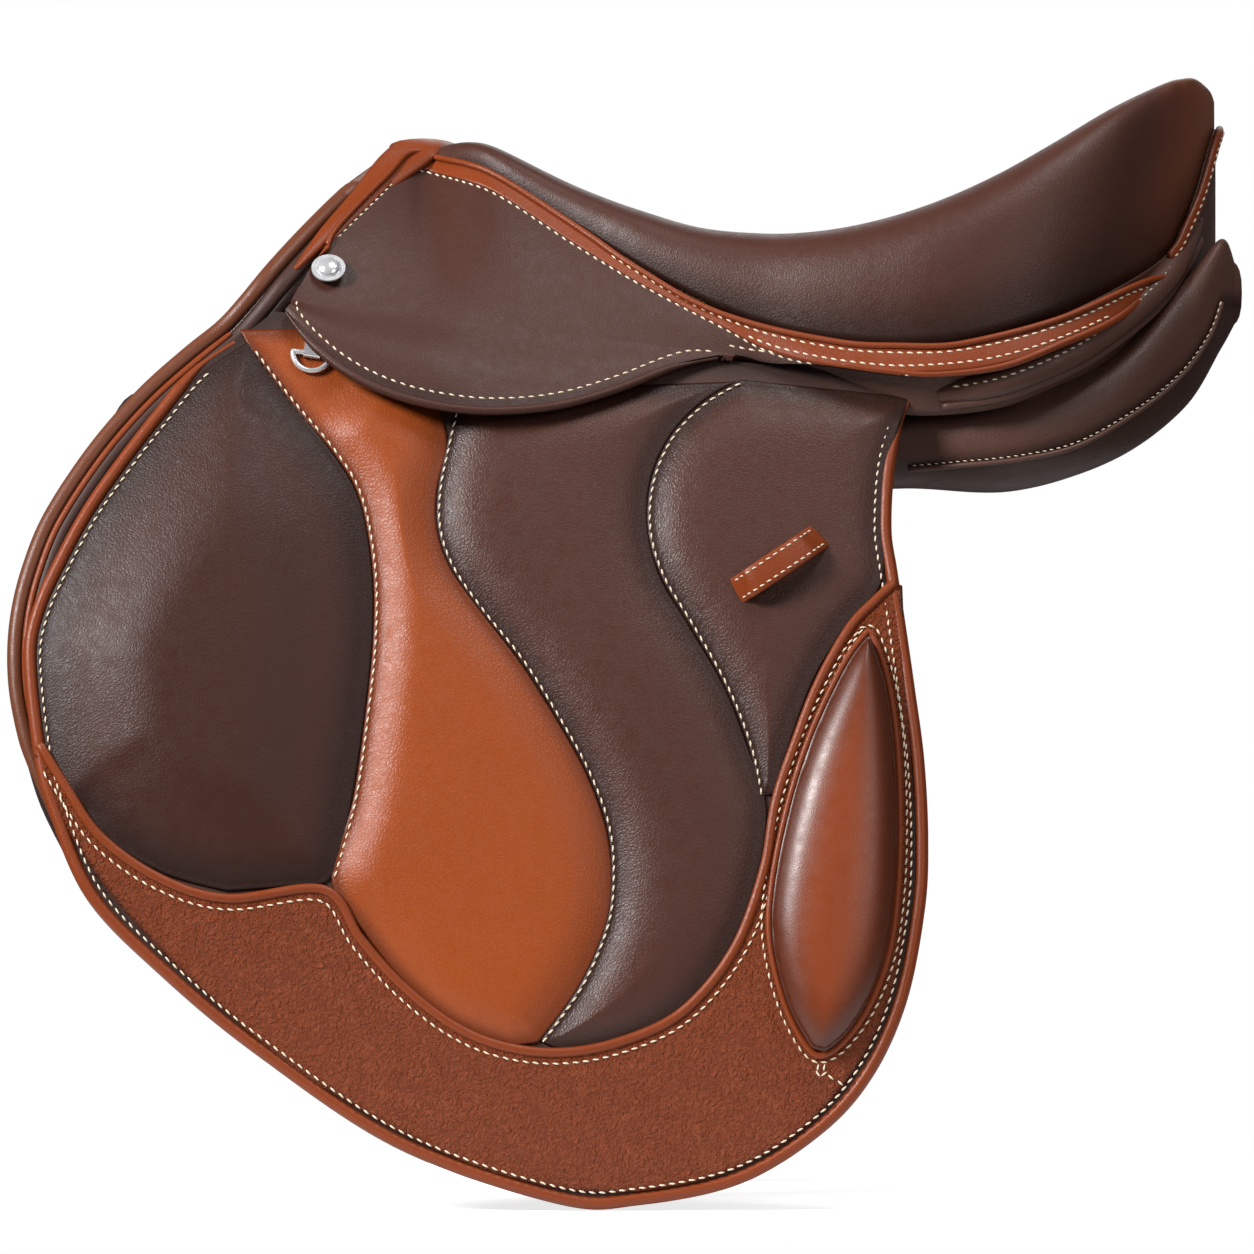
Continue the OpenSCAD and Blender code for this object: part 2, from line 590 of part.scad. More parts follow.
// Side rails: place along seat_l and distance out as shares, then under the foam
rail_shares = [[0.35, 0.5], [0.45, 0.57], [0.55, 0.62], [0.65, 0.63], [0.75, 0.58]];
rail_first_share = 0.42;
rail_last_share = 0.44;
rail_level_share = 0.6;
rail_sink = 5;
rail_sides = 8;
under_foam = cover_t + foam_t + 2*fit;
board_row = station(seat_shares, board_place_share);
board_steps = 5;
board_w = 36;
board_t = 10;
board_reach_share = 0.95;
board_sink = 8.5;
depth_table = [for (i = [0:len(seat_shares) - 1]) [seat_shares[i][0], seat_depth(i)]];
rail_droop_share = 0.2;
function rail_z(s) = lookup(s, top_table) - under_foam - rail_t/2 - rail_sink
    - rail_droop_share*max(lookup(s, depth_table) - under_foam, 0);
rail_x0 = (arch_p + arch_d)*cos(hinge_tilt) + rail_level_share*arch_r*sin(hinge_tilt) + rail_t/3;
rail_x1 = seat_x(board_row) - board_w/2 - fit;
function rail_point(x, share) = [x, share*seat_w/2, rail_z((x - nail_x)/seat_l)];
function rail_path() = curve(concat(
    [rail_point(rail_x0, rail_first_share)],
    [for (r = rail_shares) rail_point(nail_x + r[0]*seat_l, r[1])],
    [rail_point(rail_x1, rail_last_share)]), 3);
function facing(path, v) = [for (p = path) v];
module rail() {
    path = rail_path();
    color(wood) loft(strip(path, rail_w, rail_t, rail_sides, facing(path, [0, 0, 1])));
}
module cantle_board() {
    path = [for (k = [-board_steps:board_steps])
        seat_point(board_row, board_reach_share*k/board_steps, under_foam + board_t/2 + board_sink)];
    rise = seat_point(board_row, 0, 0) - seat_point(board_row - 1, 0, 0);
    color(wood) loft(strip(path, board_w, board_t, 8, facing(path, [-rise.z, 0, rise.x])));
}

// Webbing under the foam, from the arch to the cantle board
web_t = 1.6;
web_w = 50;
web_rows = [station(seat_shares, web_first_share):station(seat_shares, web_last_share)];
module seat_webbing() {
    path = [for (i = web_rows) seat_point(i, 0, under_foam + web_t/2)];
    color(linen) loft(strip(path, web_w, web_t, 8, facing(path, [0, 0, 1])));
}

// Seat: foam over the tree behind the arch, leather over all
foam_last_row = station(seat_shares, foam_end_share);
foam_rows = [for (i = [0:foam_last_row]) if (seat_x(i) > rail_x0) i];
seat_steps = 8;
foam_steps = 6;
function foam_layer(d) = [for (i = foam_rows)
    [for (k = [-foam_steps:foam_steps]) seat_point(i, k/seat_steps, d)]];
module seat_pad() {
    color(foam) skin(foam_layer(cover_t + fit), foam_layer(cover_t + fit + foam_t));
}
module seat_cover() {
    last = len(seat_shares) - 1;
    color(dark) skin(seat_layer(0, last, seat_steps, 0), seat_layer(0, last, seat_steps, cover_t));
}
module welt() {
    path = welt_path(1, cantle_row);
    color(tan_leather) loft(strip(path, welt_w, welt_t, 8, facing(path, [0, 1, 0])));
}

// Binding round the back of the cantle and the facing below it
function mirrored(path) = [for (i = [len(path) - 1:-1:0]) [path[i].x, -path[i].y, path[i].z]];
function arc_over(path) = concat(path, mirrored(path));
function cantle_path(d, drop) =
    [for (i = [cantle_row + 1:len(seat_shares) - 1]) rim_out(i, d, drop)];
facing_t = 3;
facing_low = 3;
facing_gap = 0.75*welt_w;
module cantle_binding() {
    path = arc_over(cantle_path(rim_gap, 0));
    out = [for (p = path) [seat_w/4, p.y, 0]];
    color(tan_leather) loft(strip(path, welt_w, welt_t, 8, out));
}
module cantle_facing() {
    top = arc_over([for (i = [cantle_row + 2:len(seat_shares) - 1])
        rim_out(i, rim_gap - facing_t/2, facing_gap)]);
    foot = [for (p = top) [p.x, p.y, top[0].z - facing_low]];
    function layer(side) = [for (i = [0:len(top) - 1])
        let(n = unit([seat_w/4, top[i].y, 0])*(side*facing_t/2))
            [top[i] + n, (top[i] + foot[i])/2 + n, foot[i] + n]];
    color(dark) skin(layer(1), layer(-1));
}
module pommel_band() {
    side = [for (s = band_shares) let(p = skirt_xz(s), top = s == band_shares[len(band_shares) - 1])
        [p[0], top ? 0 : head_y(p[1]), p[1]]];
    far = [for (i = [len(side) - 2:-1:0]) [side[i].x, -side[i].y, side[i].z]];
    path = curve(concat(side, far), 2);
    color(tan_leather) loft(strip(path, band_w, band_t, 8, [for (p = path) [0, p.y, p.z - hinge_z]]));
}

// Stirrup bar: plate on the arch's flank, leg and open-ended bar, in the flank's frame
bar_leg = 9;
bar_tail = 5;
bar_level = arch_r + fit + plate_t + bar_slot;
catch_l = 13;
catch_t = 3;
pin_r = 1.5;
pin_head_h = 1;
pin_head_r = 2.6;
module bar_frame() {
    arch_frame(bar_p, flank_lean, bar_s) children();
}
module stirrup_bar() {
    color(steel) difference() {
        bar_frame() {
            translate([0, -bar_plate_h/2, arch_r + fit]) cube([bar_l, bar_plate_h, plate_t]);
            translate([0, bar_h/2, 0]) rotate([90, 0, 0]) linear_extrude(height = bar_h)
                polygon([[0, arch_r + fit], [bar_leg, arch_r + fit], [bar_leg, bar_level], [bar_l, bar_level],
                    [bar_l, bar_level + bar_t - catch_t], [bar_l + 2*bar_tail, bar_level + bar_t - catch_t],
                    [bar_l + 2*bar_tail, bar_level + bar_t], [0, bar_level + bar_t]]);
            translate([bar_l + bar_tail, 0, bar_level - fit - pin_head_h])
                cylinder(r = pin_r, h = bar_t, $fn = 32);
            translate([bar_l + bar_tail, 0, bar_level - fit - pin_head_h])
                cylinder(r = pin_head_r, h = pin_head_h, $fn = 32);
        }
        rivet_holes();
    }
}
module bar_catch() {
    color(steel) bar_frame()
        translate([bar_l + bar_tail, 0, bar_level]) linear_extrude(height = catch_t - fit) difference() {
            union() {
                circle(r = bar_h/2 - fit, $fn = 48);
                translate([0, -bar_h/2 + fit]) square([catch_l, bar_h - 2*fit]);
            }
            circle(r = pin_r + fit/2, $fn = 32);
        }
}

// Flap with its notch over the stirrup bar
notch_p = -121;
notch_l = 82;
notch_q = 34;
module flap() {
    color(tan_leather) difference() {
        flap_sheet(
            beside(flap_edge(flap_front_shares, 2), binding_w + fit),
            beside(flap_edge(flap_rear_shares, 2), -binding_w - fit), 6, -flap_t, 0);
        bend_frame() translate([notch_p, hinge_y/2, -notch_q]) cube([notch_l, hinge_y, 2*notch_q]);
    }
}
// Rolled binding round the free edge of the flap
function without_first(list) = [for (i = [1:len(list) - 1]) list[i]];
module flap_binding() {
    line = concat(
        flap_edge(without_first(flap_front_shares), 2),
        reversed(flap_edge(without_first(flap_rear_shares), 2)));
    path = [for (p = beside(line, binding_w/2)) on_flap(p, -flap_t/2)];
    color(tan_leather) loft(strip(path, binding_w, binding_t, 6, facing(path, [0, 1, 0])));
}
module knee_block() {
    color(dark) flap_pad(knee_front_shares, knee_rear_shares, 2, 6, fit, applique_t, knee_crown);
}
module front_swoosh() {
    color(tan_leather)
        flap_pad(swoosh_front_shares, swoosh_rear_shares, 1, 5, fit, applique_t, applique_crown);
}
module middle_panel() {
    color(dark) flap_pad(middle_front_shares, middle_rear_shares, 1, 5, fit, applique_t, applique_crown);
}
module rear_panel() {
    color(dark) flap_pad(rear_front_shares, rear_rear_shares, 1, 5, fit, applique_t, applique_crown);
}
module lower_guard() {
    color(grained) flap_sheet(flap_edge(guard_inner_shares, 2), flap_edge(guard_outer_shares, 2), 3,
        fit, fit + applique_t);
}
module thigh_block() {
    color(tan_leather)
        flap_pad(thigh_front_shares, thigh_rear_shares, 2, 6, applique_t + 2*fit, applique_t, thigh_crown);
}
module keeper_loop() {
    seat = applique_t + applique_crown + keeper_t/2 + 2*fit;
    ends = keeper_ends_shares;
    path = curve([for (k = keeper_lift_shares)
        on_flap(flap_place(mix(ends[0], ends[1], k[0])), seat + keeper_lift*k[1])], 2);
    color(tan_leather) loft(strip(path, keeper_w, keeper_t, 8, facing(path, [0, 1, 0])));
}

// Dee ring and the clip that holds it on the flap's front corner
dee_x = -152;
dee_q = 24.6;
dee_r = 9;
dee_wire_r = 1.3;
dee_barrel_r = 2.3;
dee_barrel_l = 8;
clip_h = 12;
clip_t = 1.2;
function dee_z() = bend_height(dee_x) - dee_q/cos(hinge_tilt);
function flap_slope(q) = tan(flap_tilt_top) - q*(tan(flap_tilt_top) - tan(flap_tilt_low))/flap_h;
// Frame on the flap's face at the dee: X along the bend line, Y out, Z up the flap
module dee_frame() {
    translate([dee_x, flap_face(dee_x, dee_z()), dee_z()]) rotate([0, hinge_tilt, 0])
        rotate([atan(flap_slope(dee_q)), 0, 0]) translate([0, dee_barrel_r + fit, 0]) children();
}
module dee_clip() {
    color(chrome) dee_frame() difference() {
        union() {
            rotate([0, 90, 0]) cylinder(r = dee_barrel_r, h = dee_barrel_l, center = true, $fn = 48);
            translate([-dee_barrel_l/2, -dee_barrel_r, 0]) cube([dee_barrel_l, clip_t, clip_h]);
        }
        rotate([0, 90, 0])
            cylinder(r = dee_wire_r + fit/2, h = dee_barrel_l + 2*over, center = true, $fn = 48);
    }
}
module dee_ring() {
    color(chrome) dee_frame() {
        rotate([0, 90, 0]) cylinder(r = dee_wire_r, h = 2*dee_r, center = true, $fn = 48);
        rotate([90, 0, 0]) rotate([0, 0, 180]) rotate_extrude(angle = 180, $fn = 64)
            translate([dee_r, 0]) circle(r = dee_wire_r, $fn = 32);
        for (x = [-dee_r, dee_r]) translate([x, 0, 0]) sphere(r = dee_wire_r, $fn = 48);
    }
}

// Sweat flap, billets and the webbing they are sewn to
sweat_t = 3;
sweat_out = -flap_t - billet_room;
billet_mid = -flap_t - billet_room/2;
billet_top = 48;
billet_tip_share = 0.55;
billet_x = -34;
billet_rows = 9;
hole_first = 30;
hole_count = 8;
web_hang = 1.1;
web_low = 16;
web_bend = 54;
web_x0 = -36;
web_x1 = 84;
web_steps = 6;
module sweat_flap() {
    color(dark) flap_sheet(flap_edge(sweat_front_shares, 2), flap_edge(sweat_rear_shares, 2), 6,
        sweat_out - sweat_t, sweat_out);
}
function billet_layer(k, off) = [for (i = [0:billet_rows]) let(
    z = billet_top - billet_l*i/billet_rows,
    half = billet_w/2*(i == billet_rows ? billet_tip_share : 1),
    x = billet_x + k*billet_step)
    [for (s = [-1, 1]) [x + s*half, flap_face(x + s*half, z) + off, z]]];
module billet(k) {
    x = billet_x + k*billet_step;
    color(dark) difference() {
        skin(billet_layer(k, billet_mid + billet_t/2), billet_layer(k, billet_mid - billet_t/2));
        for (h = [0:hole_count - 1]) let(z = billet_top - billet_l + hole_first + h*hole_step)
            translate([x, flap_face(x, z) + billet_mid, z])
                rotate([atan(flap_slope(bend_q(x, z))) - 90, 0, 0])
                    cylinder(r = hole_r, h = 3*billet_t, center = true, $fn = 32);
    }
}
function web_layer(off) = [for (i = [0:web_steps]) let(
    x = mix(web_x0, web_x1, i/web_steps),
    s = (x - nail_x)/seat_l,
    y = lookup(s, concat([[0, rail_first_share]], rail_shares))*seat_w/2,
    under_rail = rail_z(s) - rail_t/2*cos(180/rail_sides) - web_hang,
    sewn = billet_mid - billet_t/2 - fit - web_t)
    [[x, y + off, under_rail], [x, flap_face(x, web_bend) + sewn + off, web_bend],
        [x, flap_face(x, web_low) + sewn + off, web_low]]];
module webbing() {
    skin(web_layer(web_t), web_layer(0));
}
module girth_webbing() {
    color(linen) {
        webbing();
        near_side() webbing();
    }
}

// Stuffed panel: each station is a flattened oval between an inner and an outer end
panel_sides = 12;
panel_lean_share = 0.5;
panel_lean_end_share = 0.25;
panel_round_share = 0.6;
function rounded(a, power) = sign(a)*pow(abs(a), power);
function panel_ring(i) = let(
    r = panel_shares[i],
    x = panel_front + r[0]*panel_l,
    t = r[3]*panel_t,
    drop = r[4] == 0 ? arch_drop : 0,
    low = r[2]*panel_rise - drop,
    behind = flap_face(x, low) + sweat_out - sweat_t - panel_ease_share*t,
    a = [gullet_y, r[1]*panel_rise - drop],
    b = [r[4] == 0 ? behind : r[4]*panel_reach, low],
    d = unit(b - a),
    n = [-d.y, d.x],
    mid = (a + b)/2,
    long = norm(b - a)/2,
    lean = panel_lean_share*max(0, 1 - r[0]/panel_lean_end_share))
    [for (k = [0:panel_sides - 1]) let(
        w = 360*(k + 0.5)/panel_sides,
        u = rounded(cos(w), panel_round_share)*long,
        v = rounded(sin(w), panel_round_share)*t/2,
        q = mid + d*u + n*v)
        [x + lean*(q[1] - low), q[0], q[1]]];
module panel() {
    color(dark) loft([for (i = [0:len(panel_shares) - 1]) panel_ring(i)]);
}

// Roll between the skirt's rear edge and the panel: places in shares of skirt_l and skirt_h, then out
roll_shares = [
    [0.744, 0.053, 0.93], [0.807, 0.087, 0.95], [0.874, 0.171, 0.88], [0.919, 0.255, 0.785],
    [0.964, 0.368, 0.665], [0.998, 0.48, 0.53], [1.024, 0.61, 0.36], [1.038, 0.7, 0.24]
];
roll_r = 5;
module rear_roll() {
    path = curve([for (s = roll_shares) let(p = skirt_xz(s)) [p[0], s[2]*seat_w/2, p[1]]], 2);
    color(dark) loft(strip(path, 2*roll_r, 2*roll_r, 8, facing(path, [0, 0, 1])));
}

front_arch();
gullet_plate();
head_plate();
near_side() rail();  // left_rail
rail();  // right_rail
cantle_board();
tree_rivets();
seat_webbing();
seat_pad();
seat_cover();
cantle_facing();
cantle_binding();
pommel_band();
near_side() welt();  // left_welt
welt();  // right_welt
near_side() skirt();  // left_skirt
skirt();  // right_skirt
near_side() saddle_nail();  // left_saddle_nail
saddle_nail();  // right_saddle_nail
near_side() stirrup_bar();  // left_stirrup_bar
stirrup_bar();  // right_stirrup_bar
near_side() sweat_flap();  // left_sweat_flap
sweat_flap();  // right_sweat_flap
near_side() panel();  // left_panel
panel();  // right_panel
near_side() rear_roll();  // left_rear_roll
rear_roll();  // right_rear_roll
girth_webbing();
near_side() flap();  // left_flap
flap();  // right_flap
near_side() flap_binding();  // left_flap_binding
flap_binding();  // right_flap_binding
near_side() knee_block();  // left_knee_block
knee_block();  // right_knee_block
near_side() front_swoosh();  // left_front_swoosh
front_swoosh();  // right_front_swoosh
near_side() middle_panel();  // left_middle_panel
middle_panel();  // right_middle_panel
near_side() rear_panel();  // left_rear_panel
rear_panel();  // right_rear_panel
near_side() lower_guard();  // left_lower_guard
lower_guard();  // right_lower_guard
near_side() thigh_block();  // left_thigh_block
thigh_block();  // right_thigh_block
near_side() keeper_loop();  // left_keeper_loop
keeper_loop();  // right_keeper_loop
near_side() dee_clip();  // left_dee_clip
dee_clip();  // right_dee_clip
near_side() skirt_lobe();  // left_skirt_lobe
skirt_lobe();  // right_skirt_lobe
near_side() dee_ring();  // left_dee_ring
dee_ring();  // right_dee_ring
near_side() bar_catch();  // left_bar_catch
bar_catch();  // right_bar_catch
near_side() billet(0);  // left_billet_front
near_side() billet(1);  // left_billet_middle
near_side() billet(2);  // left_billet_rear
billet(0);  // right_billet_front
billet(1);  // right_billet_middle
billet(2);  // right_billet_rear
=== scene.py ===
import math
import bmesh
import bpy
import mathutils
import numpy as np
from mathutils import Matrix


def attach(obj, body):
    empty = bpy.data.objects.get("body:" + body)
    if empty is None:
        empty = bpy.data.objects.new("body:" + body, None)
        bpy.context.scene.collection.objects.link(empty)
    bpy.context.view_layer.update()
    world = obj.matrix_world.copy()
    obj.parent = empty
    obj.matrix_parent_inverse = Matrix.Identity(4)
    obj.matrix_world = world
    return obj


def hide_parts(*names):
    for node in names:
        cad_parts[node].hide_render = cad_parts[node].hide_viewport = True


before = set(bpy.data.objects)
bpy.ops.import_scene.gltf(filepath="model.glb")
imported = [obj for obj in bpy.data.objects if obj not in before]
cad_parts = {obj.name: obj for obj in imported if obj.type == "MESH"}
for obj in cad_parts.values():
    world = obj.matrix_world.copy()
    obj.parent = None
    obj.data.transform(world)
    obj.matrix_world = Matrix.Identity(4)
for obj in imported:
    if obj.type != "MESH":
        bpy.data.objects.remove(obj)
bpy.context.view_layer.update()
bpy.ops.object.select_all(action="DESELECT")

# Spring tree.
# Front arch, side rails and cantle board are beech veneers glued in layers and sealed.
# Steel plates and bars are forged, ground and riveted through the arch.
def put(tree, kind, ins=None, **props):
    n = tree.nodes.new("ShaderNode" + kind)
    for key, value in props.items():
        setattr(n, key, value)
    for key, value in (ins or {}).items():
        if isinstance(value, bpy.types.NodeSocket):
            tree.links.new(value, n.inputs[key])
        else:
            n.inputs[key].default_value = value
    return n


def blend_colour(tree, share, a, b):
    n = tree.nodes.new("ShaderNodeMix")
    n.data_type = "RGBA"
    for index, value in ((0, share), (6, a), (7, b)):
        if isinstance(value, bpy.types.NodeSocket):
            tree.links.new(value, n.inputs[index])
        else:
            n.inputs[index].default_value = value
    return n.outputs[2]


def srgb(*levels):
    shares = [level / 255 for level in levels]
    return tuple(c / 12.92 if c <= 0.04 else ((c + 0.055) / 1.055) ** 2.4 for c in shares) + (1.0,)


def surface(name, roughness, metallic=0.0, coat=0.0, specular=0.5):
    m = bpy.data.materials.new(name)
    m.use_nodes = True
    b = m.node_tree.nodes["Principled BSDF"]
    b.inputs["Roughness"].default_value = roughness
    b.inputs["Metallic"].default_value = metallic
    b.inputs["Coat Weight"].default_value = coat
    b.inputs["Coat Roughness"].default_value = 0.25
    b.inputs["Specular IOR Level"].default_value = specular
    return m, m.node_tree, b


def bump(tree, shader, height, strength, distance):
    rise = put(tree, "Bump", {"Height": height, "Strength": strength, "Distance": distance})
    tree.links.new(rise.outputs["Normal"], shader.inputs["Normal"])


def dress(mat, *names):
    for name in names:
        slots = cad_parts[name].data.materials
        slots.clear()
        slots.append(mat)


beech, t, b = surface("beech_veneer", 0.5)
at = put(t, "TexCoord")
long = put(t, "Mapping", {"Vector": at.outputs["Object"], "Scale": (6, 60, 60)})
grain = put(t, "TexNoise", {"Vector": long.outputs["Vector"], "Scale": 6.0, "Detail": 8.0,
                            "Roughness": 0.65})
layers = put(t, "TexWave", {"Vector": at.outputs["Object"], "Scale": 180.0, "Distortion": 1.5},
             bands_direction="Z")
pale = blend_colour(t, grain.outputs["Fac"], srgb(206, 166, 112), srgb(150, 104, 60))
t.links.new(blend_colour(t, layers.outputs["Fac"], pale, srgb(176, 128, 78)), b.inputs["Base Color"])
bump(t, b, grain.outputs["Fac"], 0.25, 0.0006)
dress(beech, "front_arch", "left_rail", "right_rail", "cantle_board")

forged, t, b = surface("forged_steel", 0.38, metallic=1.0)
at = put(t, "TexCoord")
drawn = put(t, "Mapping", {"Vector": at.outputs["Object"], "Scale": (20, 300, 300)})
lines = put(t, "TexNoise", {"Vector": drawn.outputs["Vector"], "Scale": 5.0, "Detail": 6.0})
cloud = put(t, "TexNoise", {"Vector": at.outputs["Object"], "Scale": 70.0, "Detail": 4.0})
steel = blend_colour(t, cloud.outputs["Fac"], srgb(150, 150, 152), srgb(196, 196, 198))
t.links.new(steel, b.inputs["Base Color"])
dull = put(t, "MapRange", {"Value": lines.outputs["Fac"], "To Min": 0.28, "To Max": 0.52})
t.links.new(dull.outputs["Result"], b.inputs["Roughness"])
bump(t, b, lines.outputs["Fac"], 0.2, 0.0003)
dress(forged, "gullet_plate", "head_plate", "tree_rivets", "left_stirrup_bar", "right_stirrup_bar",
      "left_bar_catch", "right_bar_catch")

# Seat webbing and foam.
# A linen web is stretched under the seat from arch to cantle, and a cut block of dense
# foam lies on it. Both are shaped on the tree by hand before the leather goes over.
SEAT = np.array([
    [0.125, 1, 0.08, 0.26], [0.166, 0.93, 0.09, 0.4], [0.199, 0.82, 0.105, 0.48],
    [0.265, 0.525, 0.158, 0.58], [0.309, 0.356, 0.205, 0.65], [0.353, 0.218, 0.268, 0.72],
    [0.419, 0.05, 0.358, 0.8], [0.485, 0, 0.468, 0.864], [0.551, 0.018, 0.568, 0.93],
    [0.617, 0.092, 0.674, 0.976], [0.683, 0.215, 0.779, 1], [0.749, 0.387, 0.879, 0.976],
    [0.815, 0.6, 0.963, 0.896], [0.881, 0.822, 1, 0.736], [0.938, 0.975, 0.953, 0.5],
    [0.958, 1, 0.816, 0.4], [0.975, 0.99, 0.616, 0.3], [0.992, 0.9, 0.27, 0.14],
    [0.9985, 0.82, 0.12, 0.03]])
NAIL_X, SEAT_L, SEAT_W, SEAT_Z, SEAT_SIDE, DISH = -148, 436, 250, 128, 91, 10
POMMEL_RISE, CANTLE_RISE, LOW_ROW, FINE = 48, 78, 7, 40
COVER_DEEP, WEB_DEEP, WEB_W, WEB_THICK, FOAM_THICK = 2.9, 26.1, 50, 0.0016, 0.0205


def by_index(points, n):
    p = np.asarray(points, float)
    k = np.linspace(0, len(p) - 1, n + 1)
    i = np.minimum(k.astype(int), len(p) - 2)
    u = (k - i).reshape(-1, *([1] * (p.ndim - 1)))
    a, b, c, d = p[np.maximum(i - 1, 0)], p[i], p[i + 1], p[np.minimum(i + 2, len(p) - 1)]
    return (2 * b + (c - a) * u + (2 * a - 5 * b + 4 * c - d) * u ** 2 + (3 * b - a - 3 * c + d) * u ** 3) / 2


def evenly(points, step):
    p = by_index(points, 24 * (len(points) - 1))
    run = np.concatenate([[0], np.cumsum(np.linalg.norm(np.diff(p, axis=0), axis=1))])
    n = max(2, int(round(run[-1] / step)))
    at = np.linspace(0, run[-1], n + 1)
    return np.stack([np.interp(at, run, p[:, k]) for k in range(p.shape[1])], axis=1)


def seat_rows(first, last, n):
    k = np.linspace(first, last, n + 1)
    fine = by_index(SEAT, (len(SEAT) - 1) * FINE)
    at = k * FINE
    return np.stack([np.interp(at, np.arange(len(fine)), fine[:, c]) for c in range(4)], axis=1)


def seat_point(row, a, d):
    low = np.interp(row[0], SEAT[:, 0], np.arange(len(SEAT))) < LOW_ROW
    top = SEAT_Z + row[1] * (POMMEL_RISE if low else CANTLE_RISE) + DISH / 2
    depth = row[2] * SEAT_SIDE + DISH / 2
    w = math.radians(90 * a)
    sink = (depth - d) * (1 - math.cos(w)) ** 3
    dish = DISH * math.cos(w) ** 3 * min(1, depth / SEAT_SIDE)
    return NAIL_X + row[0] * SEAT_L, (row[3] * SEAT_W / 2 - d) * math.sin(w), top - d - sink - dish


def work_on(ob):
    bpy.ops.object.select_all(action="DESELECT")
    ob.select_set(True)
    bpy.context.view_layer.objects.active = ob


def grid_piece(name, pts, outward):
    rows, cols = pts.shape[:2]
    bpy.ops.mesh.primitive_grid_add(x_subdivisions=cols - 1, y_subdivisions=rows - 1, size=2)
    ob = bpy.context.object
    ob.name = ob.data.name = name
    co = np.empty(len(ob.data.vertices) * 3)
    ob.data.vertices.foreach_get("co", co)
    co = co.reshape(-1, 3)
    j = np.rint((co[:, 0] + 1) / 2 * (cols - 1)).astype(int)
    i = np.rint((co[:, 1] + 1) / 2 * (rows - 1)).astype(int)
    ob.data.vertices.foreach_set("co", (pts[i, j] * 0.001).ravel())
    ob.data.update()
    facing = sum((p.normal * p.area for p in ob.data.polygons), start=ob.data.polygons[0].normal * 0)
    if facing.dot(outward) < 0:
        bpy.ops.object.mode_set(mode="EDIT")
        bpy.ops.mesh.select_all(action="SELECT")
        bpy.ops.mesh.flip_normals()
        bpy.ops.object.mode_set(mode="OBJECT")
    bpy.ops.object.shade_smooth()
    return ob, i, j


def finish_with(ob, kind, **settings):
    work_on(ob)
    mod = ob.modifiers.new(kind.lower(), kind)
    for key, value in settings.items():
        setattr(mod, key, value)
    bpy.ops.object.modifier_apply(modifier=mod.name)


def weave(name, light, dark, threads):
    m, t, b = surface(name, 0.85, specular=0.2)
    at = put(t, "TexCoord")
    strands = {"Vector": at.outputs["Object"], "Scale": threads, "Distortion": 0.4}
    warp = put(t, "TexWave", strands, bands_direction="X")
    weft = put(t, "TexWave", strands, bands_direction="Z")
    cloth = put(t, "Math", {0: warp.outputs["Fac"], 1: weft.outputs["Fac"]}, operation="MULTIPLY")
    t.links.new(blend_colour(t, cloth.outputs[0], dark, light), b.inputs["Base Color"])
    bump(t, b, cloth.outputs[0], 0.6, 0.0005)
    return m


linen = weave("linen_web", srgb(206, 194, 166), srgb(140, 126, 98), 260.0)
rows = seat_rows(3, 12, 60)
across = [(0, y, 0) for y in np.linspace(-WEB_W / 2, WEB_W / 2, 13)]
pts = np.array([[np.array(seat_point(r, 0, WEB_DEEP)) + step for step in across] for r in rows])
web, _, _ = grid_piece("seat_web", pts, (0, 0, 1))
finish_with(web, "SOLIDIFY", thickness=WEB_THICK, offset=0)
web.data.materials.append(linen)
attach(web, "saddle")
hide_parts("seat_webbing")

foam, t, b = surface("dense_foam", 0.95, specular=0.1)
at = put(t, "TexCoord")
holes = put(t, "TexVoronoi", {"Vector": at.outputs["Object"], "Scale": 700.0})
cream = blend_colour(t, holes.outputs["Distance"], srgb(188, 170, 128), srgb(226, 212, 178))
t.links.new(cream, b.inputs["Base Color"])
bump(t, b, holes.outputs["Distance"], 0.5, 0.0006)
rows = seat_rows(3, 15, 60)
pts = np.array([[seat_point(r, a, COVER_DEEP) for a in np.linspace(-0.75, 0.75, 41)] for r in rows])
block, _, _ = grid_piece("seat_foam", pts, (0, 0, 1))
finish_with(block, "SOLIDIFY", thickness=FOAM_THICK, offset=-1)
finish_with(block, "BEVEL", width=0.002, segments=2)
block.data.materials.append(foam)
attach(block, "saddle")
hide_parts("seat_pad")

# Seat cover.
# One calf hide is blocked wet over the foam, drawn down to the rim and nailed under the tree.
# The leather is drum-dyed dark brown, rubbed to a soft sheen and tan at the cantle's crown.
hide = bpy.data.node_groups.new("hide_grain", "ShaderNodeTree")
for key, value in (("Cell", 700.0), ("Wrinkle", 160.0)):
    hide.interface.new_socket(key, in_out="INPUT", socket_type="NodeSocketFloat").default_value = value
for key in ("Pebble", "Crease", "Worm", "Mottle"):
    hide.interface.new_socket(key, in_out="OUTPUT", socket_type="NodeSocketFloat")
given = hide.nodes.new("NodeGroupInput")
told = hide.nodes.new("NodeGroupOutput")
at = put(hide, "TexCoord")
wander = put(hide, "TexNoise", {"Vector": at.outputs["Object"], "Scale": 90.0, "Detail": 2.0})
STRAY = (0.006, 0.006, 0.006)
shift = put(hide, "VectorMath", {0: wander.outputs["Color"], 1: STRAY}, operation="MULTIPLY")
moved = put(hide, "VectorMath", {0: at.outputs["Object"], 1: shift.outputs[0]}, operation="ADD")
cells = put(hide, "TexVoronoi", {"Vector": moved.outputs[0], "Scale": given.outputs["Cell"]},
            feature="DISTANCE_TO_EDGE")
round_ = put(hide, "MapRange", {"Value": cells.outputs["Distance"], "From Max": 0.3},
             interpolation_type="SMOOTHSTEP")
